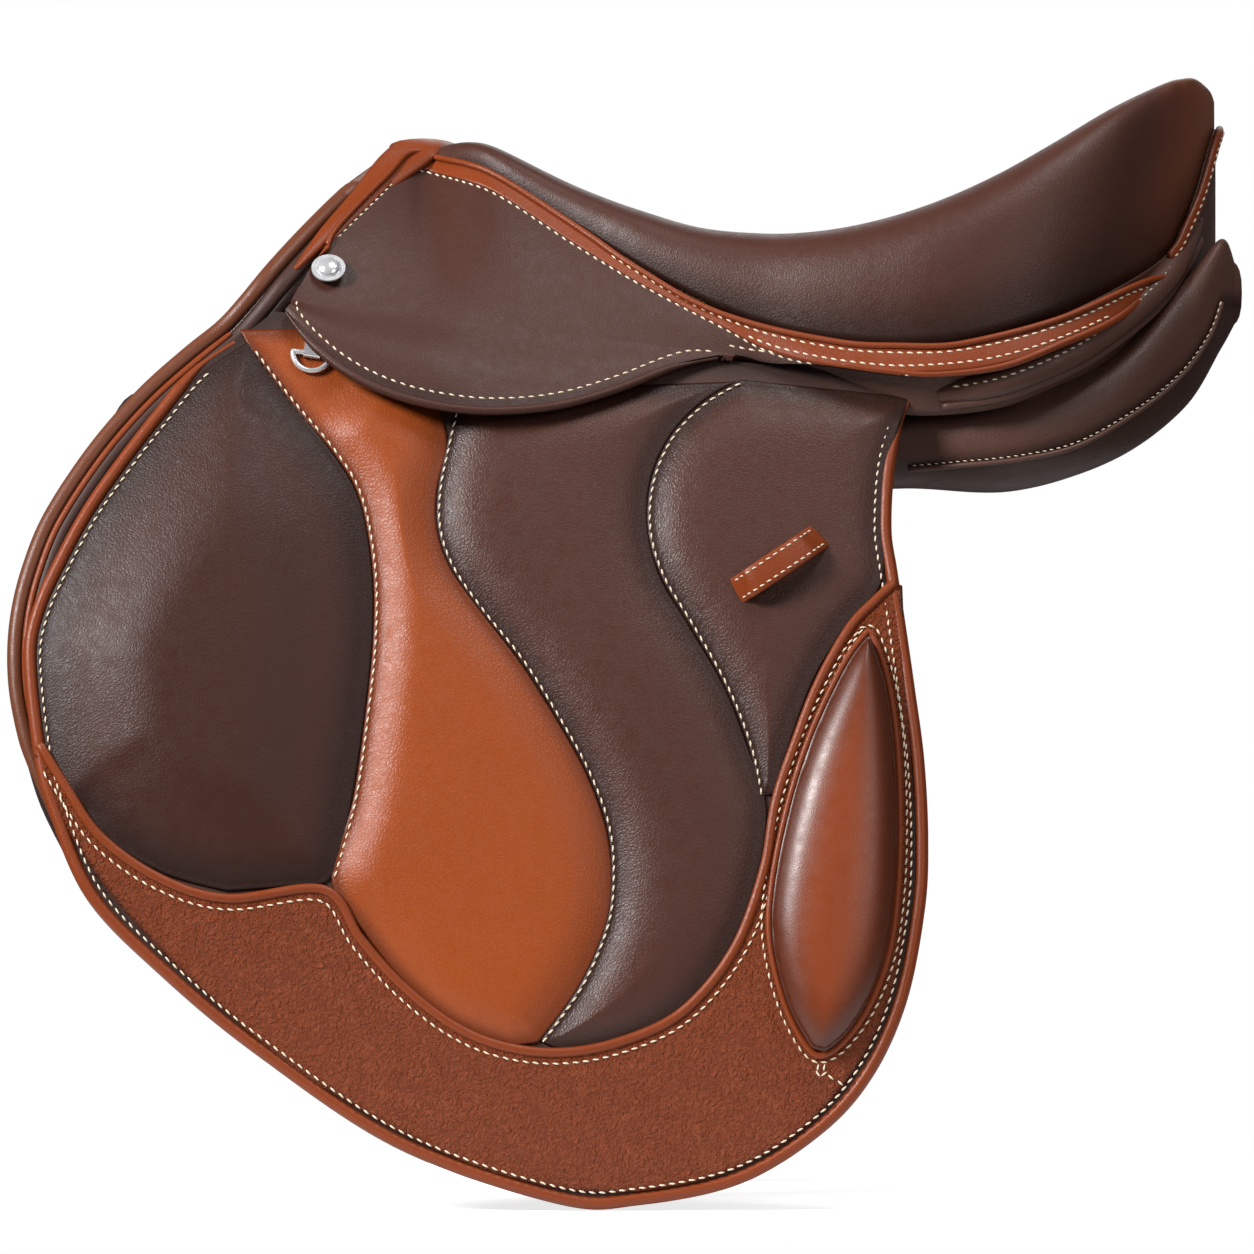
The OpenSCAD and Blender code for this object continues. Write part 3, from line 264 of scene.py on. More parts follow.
folds = put(hide, "TexNoise", {"Vector": moved.outputs[0], "Scale": given.outputs["Wrinkle"], "Detail": 7.0,
                               "Roughness": 0.62})
patches = put(hide, "TexNoise", {"Vector": at.outputs["Object"], "Scale": 11.0, "Detail": 4.0})
worms = put(hide, "TexNoise", {"Vector": moved.outputs[0], "Scale": given.outputs["Cell"], "Detail": 3.0,
                               "Roughness": 0.6})
middle = put(hide, "Math", {0: worms.outputs["Fac"], 1: 0.5}, operation="SUBTRACT")
apart = put(hide, "Math", {0: middle.outputs[0]}, operation="ABSOLUTE")
ridge = put(hide, "MapRange", {"Value": apart.outputs[0], "From Max": 0.26}, interpolation_type="SMOOTHSTEP")
hide.links.new(ridge.outputs["Result"], told.inputs["Worm"])
hide.links.new(round_.outputs["Result"], told.inputs["Pebble"])
hide.links.new(folds.outputs["Fac"], told.inputs["Crease"])
hide.links.new(patches.outputs["Fac"], told.inputs["Mottle"])


def leather(name, colour, deep, cell=720.0, wrinkle=170.0, relief=0.00035, strength=0.18, rough=0.42,
            valley_shade=0.08, crown=None, grain="Pebble", gloss=0.3):
    m, t, b = surface(name, rough, specular=gloss)
    g = put(t, "Group", node_tree=hide)
    g.inputs["Cell"].default_value = cell
    g.inputs["Wrinkle"].default_value = wrinkle
    tone = put(t, "MapRange", {"Value": g.outputs["Mottle"], "From Min": 0.3, "From Max": 0.7,
                               "To Max": 0.1})
    base = blend_colour(t, tone.outputs["Result"], colour, deep)
    if crown:
        lit = put(t, "Attribute", attribute_name="crown")
        base = blend_colour(t, lit.outputs["Fac"], base, crown)
    # Painted shade: the hollows of the grain are mixed toward black.
    low = put(t, "MapRange", {"Value": g.outputs[grain], "To Min": valley_shade, "To Max": 0.0})
    base = blend_colour(t, low.outputs["Result"], base, (0.0, 0.0, 0.0, 1.0))
    # Painted shade: where the edge attribute is low, near seams, outlines and the flanks of rolls, the colour
    # is blended toward the deep tone.
    seam = put(t, "Attribute", attribute_name="edge")
    shade = put(t, "MapRange", {"Value": seam.outputs["Fac"], "To Min": 0.8, "To Max": 0.0},
                interpolation_type="SMOOTHSTEP")
    t.links.new(blend_colour(t, shade.outputs["Result"], base, deep), b.inputs["Base Color"])
    worn = put(t, "MapRange", {"Value": g.outputs["Crease"], "From Min": 0.3, "From Max": 0.7,
                               "To Min": rough - 0.05, "To Max": rough + 0.08})
    t.links.new(worn.outputs["Result"], b.inputs["Roughness"])
    both = put(t, "Math", {0: g.outputs[grain], 1: g.outputs["Crease"]}, operation="ADD")
    bump(t, b, both.outputs[0], strength, relief)
    return m


def mark(ob, name, values):
    a = ob.data.attributes.new(name, "FLOAT", "POINT")
    a.data.foreach_set("value", np.ascontiguousarray(values, dtype=np.float32))


def settle(ob, mat, body, slot, *nodes):
    ob.data.materials.append(mat)
    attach(ob, body)
    if nodes:
        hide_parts(*nodes)
    return ob


DARK, DARK_DEEP, TAN, TAN_DEEP = srgb(72, 41, 32), srgb(30, 14, 9), srgb(146, 66, 22), srgb(80, 30, 7)
NOSE_X, NOSE_L, NOSE_DROP, END_ROWS, HALF = -62, 32, 8, 14, 48
RIM_Z, RIM_X, CROWN_L = [112, 132, 149, 175, 192, 215], [258, 270, 277, 285, 288, 288], 34
calf = leather("calf_dark", DARK, DARK_DEEP, crown=srgb(128, 66, 36))
rows = seat_rows(0, 18, 180)
turn = np.linspace(-1, 1, 2 * HALF + 1)
pts = np.array([[seat_point(r, a, 0) for a in turn] for r in rows])
pts[..., 2] -= NOSE_DROP * np.clip((NOSE_X - pts[..., 0]) / NOSE_L, 0, 1) ** 2
end = pts[-END_ROWS:, :, 2]
left = np.maximum.accumulate(end[:, :HALF + 1], axis=1)
right = np.maximum.accumulate(end[:, :HALF:-1], axis=1)
end += (np.hstack([left, right[:, ::-1]]) - end) * np.linspace(0, 1, END_ROWS)[:, None]
pts = np.concatenate([pts, [pts[-1] * (1, 0, 1)]])
seat, i, j = grid_piece("seat_leather", pts, (0, 0, 1))
# Painted shade: the edge attribute darkens the seat cover towards both rims.
mark(seat, "edge", np.clip((1 - np.abs(turn[j])) / 0.12, 0, 1))
from_rim = np.interp(pts[i, j, 2], RIM_Z, RIM_X) - pts[i, j, 0]
mark(seat, "crown", 0.85 * np.clip(1 - from_rim / CROWN_L, 0, 1) ** 1.4)
work_on(seat)
bpy.ops.object.mode_set(mode="EDIT")
bpy.ops.mesh.select_all(action="SELECT")
bpy.ops.mesh.remove_doubles(threshold=1e-5)
bpy.ops.object.mode_set(mode="OBJECT")
finish_with(seat, "SOLIDIFY", thickness=0.0022, offset=-1)
settle(seat, calf, "saddle", "dark_leather", "seat_cover")

# Cantle binding and facing.
# A tan strip is folded round a cord and sewn to the rim of the cantle with one row of linen thread.
# The back of the cantle is covered with a pasted facing of the same dark hide.
def unit(v):
    return v / np.maximum(np.linalg.norm(v, axis=-1, keepdims=True), 1e-9)


def frames(path, face):
    d = unit(np.gradient(path, axis=0))
    n = unit(face - d * np.sum(face * d, axis=1, keepdims=True))
    return d, n, np.cross(d, n)


def close_up(ob):
    work_on(ob)
    bpy.ops.object.mode_set(mode="EDIT")
    bpy.ops.mesh.select_all(action="SELECT")
    bpy.ops.mesh.remove_doubles(threshold=1e-6)
    bpy.ops.mesh.normals_make_consistent(inside=False)
    bpy.ops.object.mode_set(mode="OBJECT")


def tube(name, path, w, t, face, sides=16, square=1.0):
    d, n, b = frames(path, np.broadcast_to(face, path.shape).astype(float))
    w = np.broadcast_to(w, len(path)) / 2
    t = np.broadcast_to(t, len(path)) / 2
    a = np.linspace(0, 2 * math.pi, sides + 1)
    c = np.sign(np.cos(a)) * np.abs(np.cos(a)) ** square
    s = np.sign(np.sin(a)) * np.abs(np.sin(a)) ** square
    wide, thick = (w[:, None] * c)[..., None], (t[:, None] * s)[..., None]
    rings = path[:, None] + b[:, None] * wide + n[:, None] * thick
    ends = []
    for end, way in ((0, -1), (-1, 1)):
        out = d[end] * way * min(w[end], t[end])
        arm = rings[end] - path[end]
        ends.append([path[end] + out + arm * 0, path[end] + arm * 0.75 + out * 0.66])
    ob, _, j = grid_piece(name, np.concatenate([ends[0], rings, ends[1][::-1]]), (0, 0, 1))
    # Painted shade: the flanks and underside of each roll are darkened through the edge attribute.
    mark(ob, "edge", np.clip((np.sin(a[j]) + 0.25) / 0.9, 0, 1))
    close_up(ob)
    return ob


bpy.ops.mesh.primitive_uv_sphere_add(segments=6, ring_count=5, radius=1)
one = bpy.context.object
STITCH = np.array([v.co for v in one.data.vertices])
STITCH_FACES = [list(p.vertices) for p in one.data.polygons]
bpy.data.objects.remove(one)
thread, t, b = surface("linen_thread", 0.6, specular=0.3)
at = put(t, "TexCoord")
twist = put(t, "TexWave", {"Vector": at.outputs["Object"], "Scale": 420.0, "Distortion": 1.0},
            bands_direction="DIAGONAL")
flax = blend_colour(t, twist.outputs["Fac"], srgb(206, 182, 150), srgb(246, 232, 210))
t.links.new(flax, b.inputs["Base Color"])
bump(t, b, twist.outputs["Fac"], 0.4, 0.0002)


def sew(name, seams, body, pitch=4.8, long=3.7, wide=1.0):
    points, faces, base = [], [], 0
    for path, face in seams:
        keep = evenly(np.hstack([path, face]), pitch)
        mids = (keep[1:, :3] + keep[:-1, :3]) / 2
        d, n, b = frames(mids, (keep[1:, 3:] + keep[:-1, 3:]) / 2)
        slant = unit(d * 0.985 + b * 0.17)
        for m, u, v, w in zip(mids, slant, n, unit(np.cross(n, slant))):
            points.append(m + STITCH[:, :1] * u * long / 2 + STITCH[:, 1:2] * w * wide / 2
                          + (STITCH[:, 2:] * 0.42 - STITCH[:, :1] ** 2 * 0.45) * v)
            faces.extend([[q + base for q in f] for f in STITCH_FACES])
            base += len(STITCH)
    mesh = bpy.data.meshes.new(name)
    mesh.from_pydata((np.concatenate(points) * 0.001).tolist(), [], faces)
    ob = bpy.data.objects.new(name, mesh)
    bpy.context.scene.collection.objects.link(ob)
    close_up(ob)
    bpy.ops.object.shade_smooth()
    return settle(ob, thread, body, "webbing")


def seat_rim(first, last, n, out, drop):
    rows = seat_rows(first, last, n)
    p = np.array([seat_point(r, 1, 0) for r in rows])
    d = np.gradient(p, axis=0)
    side = unit(np.stack([-d[:, 1], d[:, 0], np.zeros(len(p))], axis=1))
    return p + side * out - (0, 0, drop), side


STRIP_W, STRIP_T, FACING_FOOT, FACING_T = 7.0, 4.0, 108, 0.0024
bridle = leather("bridle_tan", srgb(126, 54, 19), srgb(58, 22, 6), cell=900.0, relief=0.0002, rough=0.36,
                 strength=0.25)
path, out = seat_rim(14.0, 18, 60, COVER_DEEP, 0.0)
back = np.concatenate([path, path[::-1] * (1, -1, 1)])
face = np.concatenate([out, out[::-1] * (1, -1, 1)])
face[:, 0] = np.maximum(face[:, 0], 0.15)
line = evenly(np.hstack([back, unit(face)])[::6], 3.0)
strip = tube("cantle_strip", line[:, :3], STRIP_W, STRIP_T, line[:, 3:], square=0.8)
settle(strip, bridle, "saddle", "tan_leather", "cantle_binding")
sew("cantle_stitches", [(line[:, :3] + unit(line[:, 3:]) * 2.1, line[:, 3:])], "saddle")
path, out = seat_rim(12.0, 18, 60, 0.6, -1.5)
head = np.concatenate([path, path[::-1] * (1, -1, 1)])
foot = head.copy()
foot[:, 2] = np.minimum(FACING_FOOT, head[:, 2] - 10)
v = np.linspace(0, 1, 9)[:, None, None]
cover, _, _ = grid_piece("cantle_back", head * (1 - v) + foot * v, (1, 0, 0))
mark(cover, "edge", np.ones(len(cover.data.vertices)))
finish_with(cover, "SOLIDIFY", thickness=FACING_T, offset=-1)
settle(cover, calf, "saddle", "dark_leather", "cantle_facing")

# Pommel band.
# A tan roll is drawn over the head of the saddle in front of the seat, wide on top and thinning out
# towards each nail, and sewn down over the arch.
HINGE_Y, HINGE_Z, HEAD = 114, 76, 176
TILT = math.radians(7)
HEAD_ROUND = 1.3
SKIRT_X, SKIRT_Z, SKIRT_L, SKIRT_H = -165, 43, 427, 126


def head_y(z):
    low = HINGE_Z + (HEAD - HINGE_Z) * 0.2
    u = np.clip((np.asarray(z, float) - low) / (HEAD + 4 - low), 0, 1)
    return HINGE_Y * (1 - u ** HEAD_ROUND) ** (1 / HEAD_ROUND)


def skirt_xz(s):
    return np.asarray(s, float) * (SKIRT_L, SKIRT_H) + (SKIRT_X, SKIRT_Z)


def both_sides(one, step):
    whole = evenly(np.concatenate([one, one[-2::-1] * (1, -1, 1)]), step)
    return whole, unit(whole * (0, 1, 1) - (0, 0, HINGE_Z)), np.abs(np.linspace(-1, 1, len(whole)))


BAND = [
    [0.012, 0.55], [0.042, 0.668], [0.08, 0.805], [0.114, 0.923], [0.138, 1.0], [0.15, 1.035],
    [0.153, 1.04]]
BAND_W, BAND_T = ([0, 0.3, 0.55, 0.8, 1], [34, 25, 14, 9, 3]), ([0, 0.8, 1], [8, 5, 2.5])
p = skirt_xz(BAND)
y = head_y(p[:, 1])
y[-1] = 0
path, face, k = both_sides(np.column_stack([p[:, 0], y, p[:, 1]]), 3.0)
band = tube("pommel_roll", path, np.interp(k, *BAND_W), np.interp(k, *BAND_T), face)
settle(band, bridle, "saddle", "tan_leather", "pommel_band")

# Skirts and lobes.
# The skirt is a thick butt piece laid over the stirrup bar, its lower edge turned and sewn. The lobe
# hangs free from the bend line, so that it lifts for the stirrup leather. A nail holds the corner.
HEAD_LINE = [[0.034, 0.583], [0.063, 0.697], [0.105, 0.845], [0.134, 0.95]]
REAR_LINE = [
    [0.546, 0.186], [0.604, 0.176], [0.672, 0.144], [0.728, 0.127], [0.807, 0.156], [0.874, 0.243],
    [0.942, 0.354], [0.995, 0.536]]
BEND = [0.008, 0.04, 0.082, 0.126, 0.172, 0.22, 0.27, 0.324, 0.38, 0.442, 0.508]
LOBE_FOOT = [
    [0.001, 0.38], [0.03, 0.26], [0.075, 0.14], [0.13, 0.055], [0.19, 0.01], [0.245, 0], [0.31, 0.022],
    [0.375, 0.085], [0.44, 0.17], [0.5, 0.212]]
LOBE_FLARE = math.tan(math.radians(34))
SKIRT_T, BORDER_T, BORDER_OVER, SHARP = 0.0042, 0.002, 7.5, math.radians(50)
FACE, HEM_W, HEM_T, HEM_FROM = 2.2, (2.5, 5), (3, 5.4), 124
LONG_ROWS, LOBE_ROWS, LOBE_FADE, STAND_MID, STAND_FOOT = 180, 100, 60, 2.4, 2.2
BOW = ([0, LOBE_ROWS, 120, LONG_ROWS], [0.03, 0.03, 0.05, 0.05])
BORDER_W = ([0, 40, 90, 140, 168, LONG_ROWS], [3.0, 4.0, 5.0, 7.0, 6.0, 2.0])
SIDES = (("left", -1), ("right", 1))


def bend_height(x):
    return HINGE_Z - x * math.tan(TILT)


def bend_q(x, z):
    return -x * math.sin(TILT) - (z - HINGE_Z) * math.cos(TILT)


def normals_of(grid):
    n = unit(np.cross(np.gradient(grid, axis=0), np.gradient(grid, axis=1)))
    return n if n[len(grid) // 2, grid.shape[1] // 2, 1] > 0 else -n


def inset_line(grid, inset, from_end):
    out = []
    for p, s in zip(grid, np.broadcast_to(inset, len(grid))):
        run = np.concatenate([[0], np.cumsum(np.linalg.norm(np.diff(p, axis=0), axis=1))])
        s = run[-1] - s if from_end else s
        if s < 0:
            out.append(p[0] + unit(p[0] - p[1]) * -s)
        else:
            out.append([np.interp(s, run, p[:, c]) for c in range(3)])
    return np.array(out)


p = skirt_xz(HEAD_LINE)
rim, _ = seat_rim(0, 14, 14, COVER_DEEP, 6.95)
top = np.concatenate([np.stack([p[:, 0], head_y(p[:, 1]), p[:, 1]], axis=1), rim])
x = SKIRT_X + np.array(BEND) * SKIRT_L
low = np.stack([x, np.full(len(x), HINGE_Y), bend_height(x)], axis=1)
p = skirt_xz(REAR_LINE)
y = top[len(x):, 1] + 2
y[:4] = np.maximum(y[:4], HINGE_Y + 0.4)
low = np.concatenate([low, np.stack([p[:, 0], y, p[:, 1]], axis=1)])
top, low = by_index(top, LONG_ROWS), by_index(low, LONG_ROWS)
way = unit(low - top)
out = unit(np.cross(np.array([1.0, 0, 0]), way))
v = np.linspace(0, 1, 31)[None, :, None]
long = np.linalg.norm(low - top, axis=1)[:, None, None]
bow = np.interp(np.arange(LONG_ROWS + 1), *BOW)[:, None, None]
upper = top[:, None] * (1 - v) + low[:, None] * v + out[:, None] * (bow * long * np.sin(math.pi * v))
p = skirt_xz(LOBE_FOOT)
y = HINGE_Y + LOBE_FLARE * bend_q(p[:, 0], p[:, 1])
foot = by_index(np.stack([p[:, 0], y, p[:, 1]], axis=1), LOBE_ROWS)
hang = upper[:LOBE_ROWS + 1, -1]
chord = np.linalg.norm(foot - hang, axis=1, keepdims=True)
start = unit(hang - upper[:LOBE_ROWS + 1, -2])
leave = 2 * (foot - hang) / np.maximum(chord, 0.01) - start
v = np.linspace(0, 1, 23)[None, :, None]
lower = ((2 * v ** 3 - 3 * v ** 2 + 1) * hang[:, None] + (v ** 3 - 2 * v ** 2 + v) * (start * chord)[:, None]
         + (3 * v ** 2 - 2 * v ** 3) * foot[:, None] + (v ** 3 - v ** 2) * (leave * chord)[:, None])
ease = v[..., 0]
stand = STAND_MID * np.sin(math.pi * ease) ** 2 + STAND_FOOT * (3 * ease ** 2 - 2 * ease ** 3)
lower[..., 1] += stand * np.clip((LOBE_ROWS - np.arange(LOBE_ROWS + 1)) / LOBE_FADE, 0, 1)[:, None]
butt = leather("butt_dark", srgb(68, 38, 29), DARK_DEEP, cell=650.0, relief=0.0003, rough=0.44, gloss=0.28)
polished, t, b = surface("polished_nickel", 0.2, metallic=0.6)
at = put(t, "TexCoord")
haze = put(t, "TexNoise", {"Vector": at.outputs["Object"], "Scale": 260.0, "Detail": 5.0})
silver = blend_colour(t, haze.outputs["Fac"], srgb(214, 214, 216), srgb(236, 236, 238))
t.links.new(silver, b.inputs["Base Color"])
dull = put(t, "MapRange", {"Value": haze.outputs["Fac"], "To Min": 0.14, "To Max": 0.26})
t.links.new(dull.outputs["Result"], b.inputs["Roughness"])
up_face, low_face = normals_of(upper), normals_of(lower)
wide = np.interp(np.arange(LONG_ROWS + 1), *BORDER_W)
for side, g in SIDES:
    turned = np.array([1, g, 1])
    for name, grid, body, node in (("skirt_leather", upper, "saddle", "skirt"),
                                   ("lobe_leather", lower, side + "_lobe", "skirt_lobe")):
        piece, i, j = grid_piece(side + "_" + name, grid * turned, (0, g, 0.6))
        free = grid.shape[1] - 1 - j
        # Painted shade: the lobe, and the skirt behind it, darken towards their lower free edge.
        mark(piece, "edge", np.clip(np.where((body != "saddle") | (i > LOBE_ROWS), free / 5, 1), 0.35, 1))
        finish_with(piece, "SOLIDIFY", thickness=SKIRT_T, offset=0)
        bpy.ops.object.shade_smooth_by_angle(angle=SHARP)
        settle(piece, butt, body, "dark_leather", side + "_" + node)
    insets = [wide * s - BORDER_OVER * (1 - s) for s in np.linspace(0, 1, 9)]
    border = np.stack([inset_line(upper, inset, False) for inset in insets], axis=1)
    border = border + normals_of(border) * 2.6
    edge, _, _ = grid_piece(side + "_skirt_border", border * turned, (0, g, 0.6))
    mark(edge, "edge", np.ones(len(edge.data.vertices)))
    finish_with(edge, "SOLIDIFY", thickness=BORDER_T, offset=-1)
    settle(edge, bridle, "saddle", "tan_leather", side + "_welt")
    piping = border[:, 0] + up_face[:, 0] * 0.5
    cord = tube(side + "_seat_piping", piping[2:-3] * turned, 3.2, 3.2, (0, g, 0.3), sides=12)
    settle(cord, bridle, "saddle", "tan_leather")
    hem = inset_line(upper, 1.6, True)[HEM_FROM:] + up_face[HEM_FROM:, -1] * 1.2
    sizes = [np.linspace(*size, len(hem)) for size in (HEM_W, HEM_T)]
    cord = tube(side + "_skirt_hem", hem * turned, *sizes, (0, g, 0.3), sides=12)
    settle(cord, bridle, "saddle", "tan_leather")
    seams = []
    for inset, from_end, first, last, column, off in (
            (wide + 1.6, False, 9, 172, 2, FACE), (6.0, True, 100, 166, 26, FACE),
            (wide * 0.45, False, 108, 170, 1, FACE + 0.6), (-4.0, False, 84, 177, 0, FACE + 0.6)):
        face = up_face[first:last:4, column] * turned
        seams.append((inset_line(upper, inset, from_end)[first:last:4] * turned + face * off, face))
    sew(side + "_skirt_stitches", seams, "saddle")
    lobe_edge = np.concatenate([lower[0, 8:-2:4], lower[1::4, -1]])
    for name, edge, body in (("_skirt_front_hem", upper[0, 20:], "saddle"),
                             ("_lobe_hem", lobe_edge, side + "_lobe")):
        edge = evenly(edge, 2.5) + (0, 0.7, 0)
        full = 4.4 * np.clip(np.minimum(np.arange(len(edge)), np.arange(len(edge))[::-1]) / 12, 0.35, 1)
        cord = tube(side + name, edge * turned, full, full, (-0.2, g, 0.2), sides=14)
        settle(cord, butt, body, "dark_leather")
    path = inset_line(lower, np.minimum(6.0, chord[:, 0]), True) + low_face[:, 18] * FACE
    path = np.concatenate([lower[3, 2:13:4] + low_face[3, 2:13:4] * FACE, path[8:100:4]])
    face = np.concatenate([low_face[3, 2:13:4], low_face[8:100:4, 18]])
    sew(side + "_lobe_stitches", [(path * turned, face * turned)], side + "_lobe")
    dress(polished, side + "_saddle_nail", side + "_dee_clip", side + "_dee_ring")

# Panels and rear rolls.
# Each panel is a calf bag stuffed with wool, sewn with a gusset and piping, and laced under the tree.
# A soft quilted roll covers the lacing between the skirt and the panel at the rear.
FLAP_X, FLAP_L, FLAP_Z, FLAP_H = -289, 433, -337, 419
LEAN_TOP, LEAN_LOW = math.tan(math.radians(23)), math.tan(math.radians(3))
PANEL_X, PANEL_L, PANEL_ROWS, PANEL_ROUND, GULLET_Y, SWEAT_IN = -166, 462, 120, 0.8, 34, 17
ROLL_W, ROLL_T, ROLL_FULL = 14, 13, ([0, 0.08, 0.8, 1], [0.7, 1, 1, 0.45])
APRON_FROM, APRON_IN, APRON_DROP, APRON_T = 96, 9, 24, 0.0015


def flap_y(x, z):
    q = np.maximum(bend_q(np.asarray(x, float), np.asarray(z, float)), 0)
    return HINGE_Y - 2.15 + q * LEAN_TOP - q * q * (LEAN_TOP - LEAN_LOW) / (2 * FLAP_H)


PANEL = np.array([
    [0, 76, 16, 14, 0], [0.13, 68, -8, 15, 0], [0.28, 64, -14, 20, 0], [0.42, 58, -12, 28, 0],
    [0.56, 48, 8, 36, 106], [0.66, 34, 26, 44, 104], [0.77, 31, 29, 48, 110], [0.87, 48, 45, 53, 95],
    [0.945, 77, 75, 62, 71], [0.985, 102, 100, 54, 54], [1, 102, 101, 30, 44]])
behind = flap_y(PANEL_X + PANEL[:, 0] * PANEL_L, PANEL[:, 2]) - SWEAT_IN - 0.19 * PANEL[:, 3]
PANEL[:, 4] = np.where(PANEL[:, 4] == 0, behind, PANEL[:, 4])
# Painted light: the panel calf is a lighter copy of the dark leather, standing in for the light on the rear
# panels.
wool = leather("panel_calf_lit", srgb(88, 58, 49), DARK_DEEP, cell=600.0, wrinkle=70.0, relief=0.0005, rough=0.44)
rings = []
w = np.linspace(0, 2 * math.pi, 65)
for r in by_index(PANEL, PANEL_ROWS):
    a, b = np.array([GULLET_Y, r[1]]), np.array([r[4], r[2]])
    d = unit(b - a)
    u = (np.sign(np.cos(w)) * np.abs(np.cos(w)) ** PANEL_ROUND * np.linalg.norm(b - a) / 2)[:, None]
    v = (np.sign(np.sin(w)) * np.abs(np.sin(w)) ** PANEL_ROUND * r[3] / 2)[:, None]
    q = (a + b) / 2 + d * u + np.array([-d[1], d[0]]) * v
    lean = 0.5 * max(0, 1 - 4 * r[0])
    rings.append(np.column_stack([PANEL_X + r[0] * PANEL_L + lean * (q[:, 1] - r[2]), q[:, 0], q[:, 1]]))
rings = np.array(rings)
ends = [np.broadcast_to(rings[e].mean(axis=0), rings[e].shape) for e in (0, -1)]
DOME = [(0.92, 1.2), (0.75, 2.4), (0.45, 3.3), (0, 3.6)]
dome = [ends[1] + (rings[-1] - ends[1]) * k + (x, 0, 0) for k, x in DOME]
bag = np.concatenate([[ends[0]], [ends[0] + (rings[0] - ends[0]) * 0.85], rings, dome])
ROLL = np.array([
    [0.744, 0.053, 0.93], [0.807, 0.087, 0.95], [0.874, 0.171, 0.88], [0.919, 0.255, 0.785],
    [0.964, 0.368, 0.665], [0.998, 0.48, 0.53], [1.024, 0.61, 0.36], [1.038, 0.7, 0.24]])
GUSSET = [[137, 15], [160, 17], [190, 20], [219, 27], [250, 45], [270, 62], [283, 80], [289, 96]]
for side, g in SIDES:
    turned = np.array([1, g, 1])
    pad, i, j = grid_piece(side + "_panel_bag", bag * turned, (0, 0, 1))
    # Painted shade: the bag darkens along the gusset seam and stays dark below it.
    over = bag[i, j, 2] - np.interp(bag[i, j, 0], *np.array(GUSSET).T)
    mark(pad, "edge", np.clip(np.abs(over) / 9, 0, np.where(over > 0, 1, 0.35)))
    close_up(pad)
    settle(pad, wool, "saddle", "dark_leather", side + "_panel")
    shell = rings[PANEL_ROWS // 2:].reshape(-1, 3)
    shell = shell[shell[:, 1] > 44]
    seam = []
    for x, z in evenly(GUSSET, 3.0):
        near = shell[np.argsort(np.hypot(shell[:, 0] - x, shell[:, 2] - z))[:6]]
        seam.append([x, near[:, 1].max(), z])
    seam = np.array(seam)
    seam[:, 1] = np.convolve(np.pad(seam[:, 1], 3, mode="edge"), np.ones(7) / 7, mode="valid")
    face = np.column_stack([np.linspace(0, 0.8, len(seam)), np.full(len(seam), g), np.zeros(len(seam))])
    cord = tube(side + "_panel_piping", seam * turned, 2.6, 2.6, face, sides=12)
    settle(cord, wool, "saddle", "dark_leather")
    row = seam[::2] * turned + (0, g * 0.8, 1.9)
    sew(side + "_panel_stitches_rear", [(row, face[::2])], "saddle", pitch=3.6, long=2.4, wide=0.6)
    p = skirt_xz(ROLL[:, :2])
    path = evenly(np.column_stack([p[:, 0], ROLL[:, 2] * SEAT_W / 2, p[:, 1]]), 3.0)
    roll_path = path * turned + np.outer(np.linspace(2, 6, len(path)), (0, 0, 1))
    full = np.interp(np.linspace(0, 1, len(path)), *ROLL_FULL)
    roll = tube(side + "_rear_roll_bag", roll_path, ROLL_W * full, ROLL_T * full, (0, g, 0.2), sides=24)
    settle(roll, wool, "saddle", "dark_leather", side + "_rear_roll")
    top = upper[APRON_FROM:, -1] - (0, 6, -6)
    tuck = np.stack([top - (0, APRON_IN * q, APRON_DROP * q) for q in np.linspace(0, 1, 7)], axis=1)
    apron, _, _ = grid_piece(side + "_panel_apron", tuck * turned, (0, g, 0))
    mark(apron, "edge", np.ones(len(apron.data.vertices)))
    finish_with(apron, "SOLIDIFY", thickness=APRON_T, offset=-1)
    settle(apron, wool, "saddle", "dark_leather")
    lip = tube(side + "_rear_roll_lip", path * turned + (1.0, g * 1.0, -4.4), 4.4, 5.0, (0, g, 0.2), sides=14)
    settle(lip, wool, "saddle", "dark_leather")
    row = (roll_path + (0.6, g * 6.0, 2.6))[1::2]
    sew(side + "_roll_stitches", [(row, np.broadcast_to((0.3, g, 0.4), row.shape))], "saddle")

# Sweat flaps, girth webbing and billets.
# The sweat flap is plain hide under the flap, its front edge rolled and piped up to the pommel. Three
# straps of waxed hide, punched for the girth, are sewn to webs that run over the tree.
HEM, CALM_R, CALM_EASE = 2.6, 17, 22


def on_flap(shares):
    return np.asarray(shares, float) * (FLAP_L, FLAP_H) + (FLAP_X, FLAP_Z)


def warped(points, n, even):
    fine = by_index(points, 1500)
    run = np.concatenate([[0], np.cumsum(np.hypot(*np.diff(fine, axis=0).T))])
    run = run / run[-1] if even else np.linspace(0, 1, 1501)
    s = np.linspace(0, 1, n + 1)
    s = 0.5 * s + 0.5 * (0.5 - 0.5 * np.cos(math.pi * s))
    return np.stack([np.interp(s, run, fine[:, c]) for c in range(2)], axis=1)


def from_outline(p, ring):
    best = np.full(len(p), 1e9)
    for u, v in zip(ring, np.roll(ring, -1, axis=0)):
        d = v - u
        s = np.clip(((p - u) @ d) / max(d @ d, 1e-9), 0, 1)
        best = np.minimum(best, np.hypot(*(p - u - s[:, None] * d).T))
    return best


def beside(line, d):
    t = unit(np.gradient(line, axis=0))
    return line + np.column_stack([-t[:, 1], t[:, 0]]) * d


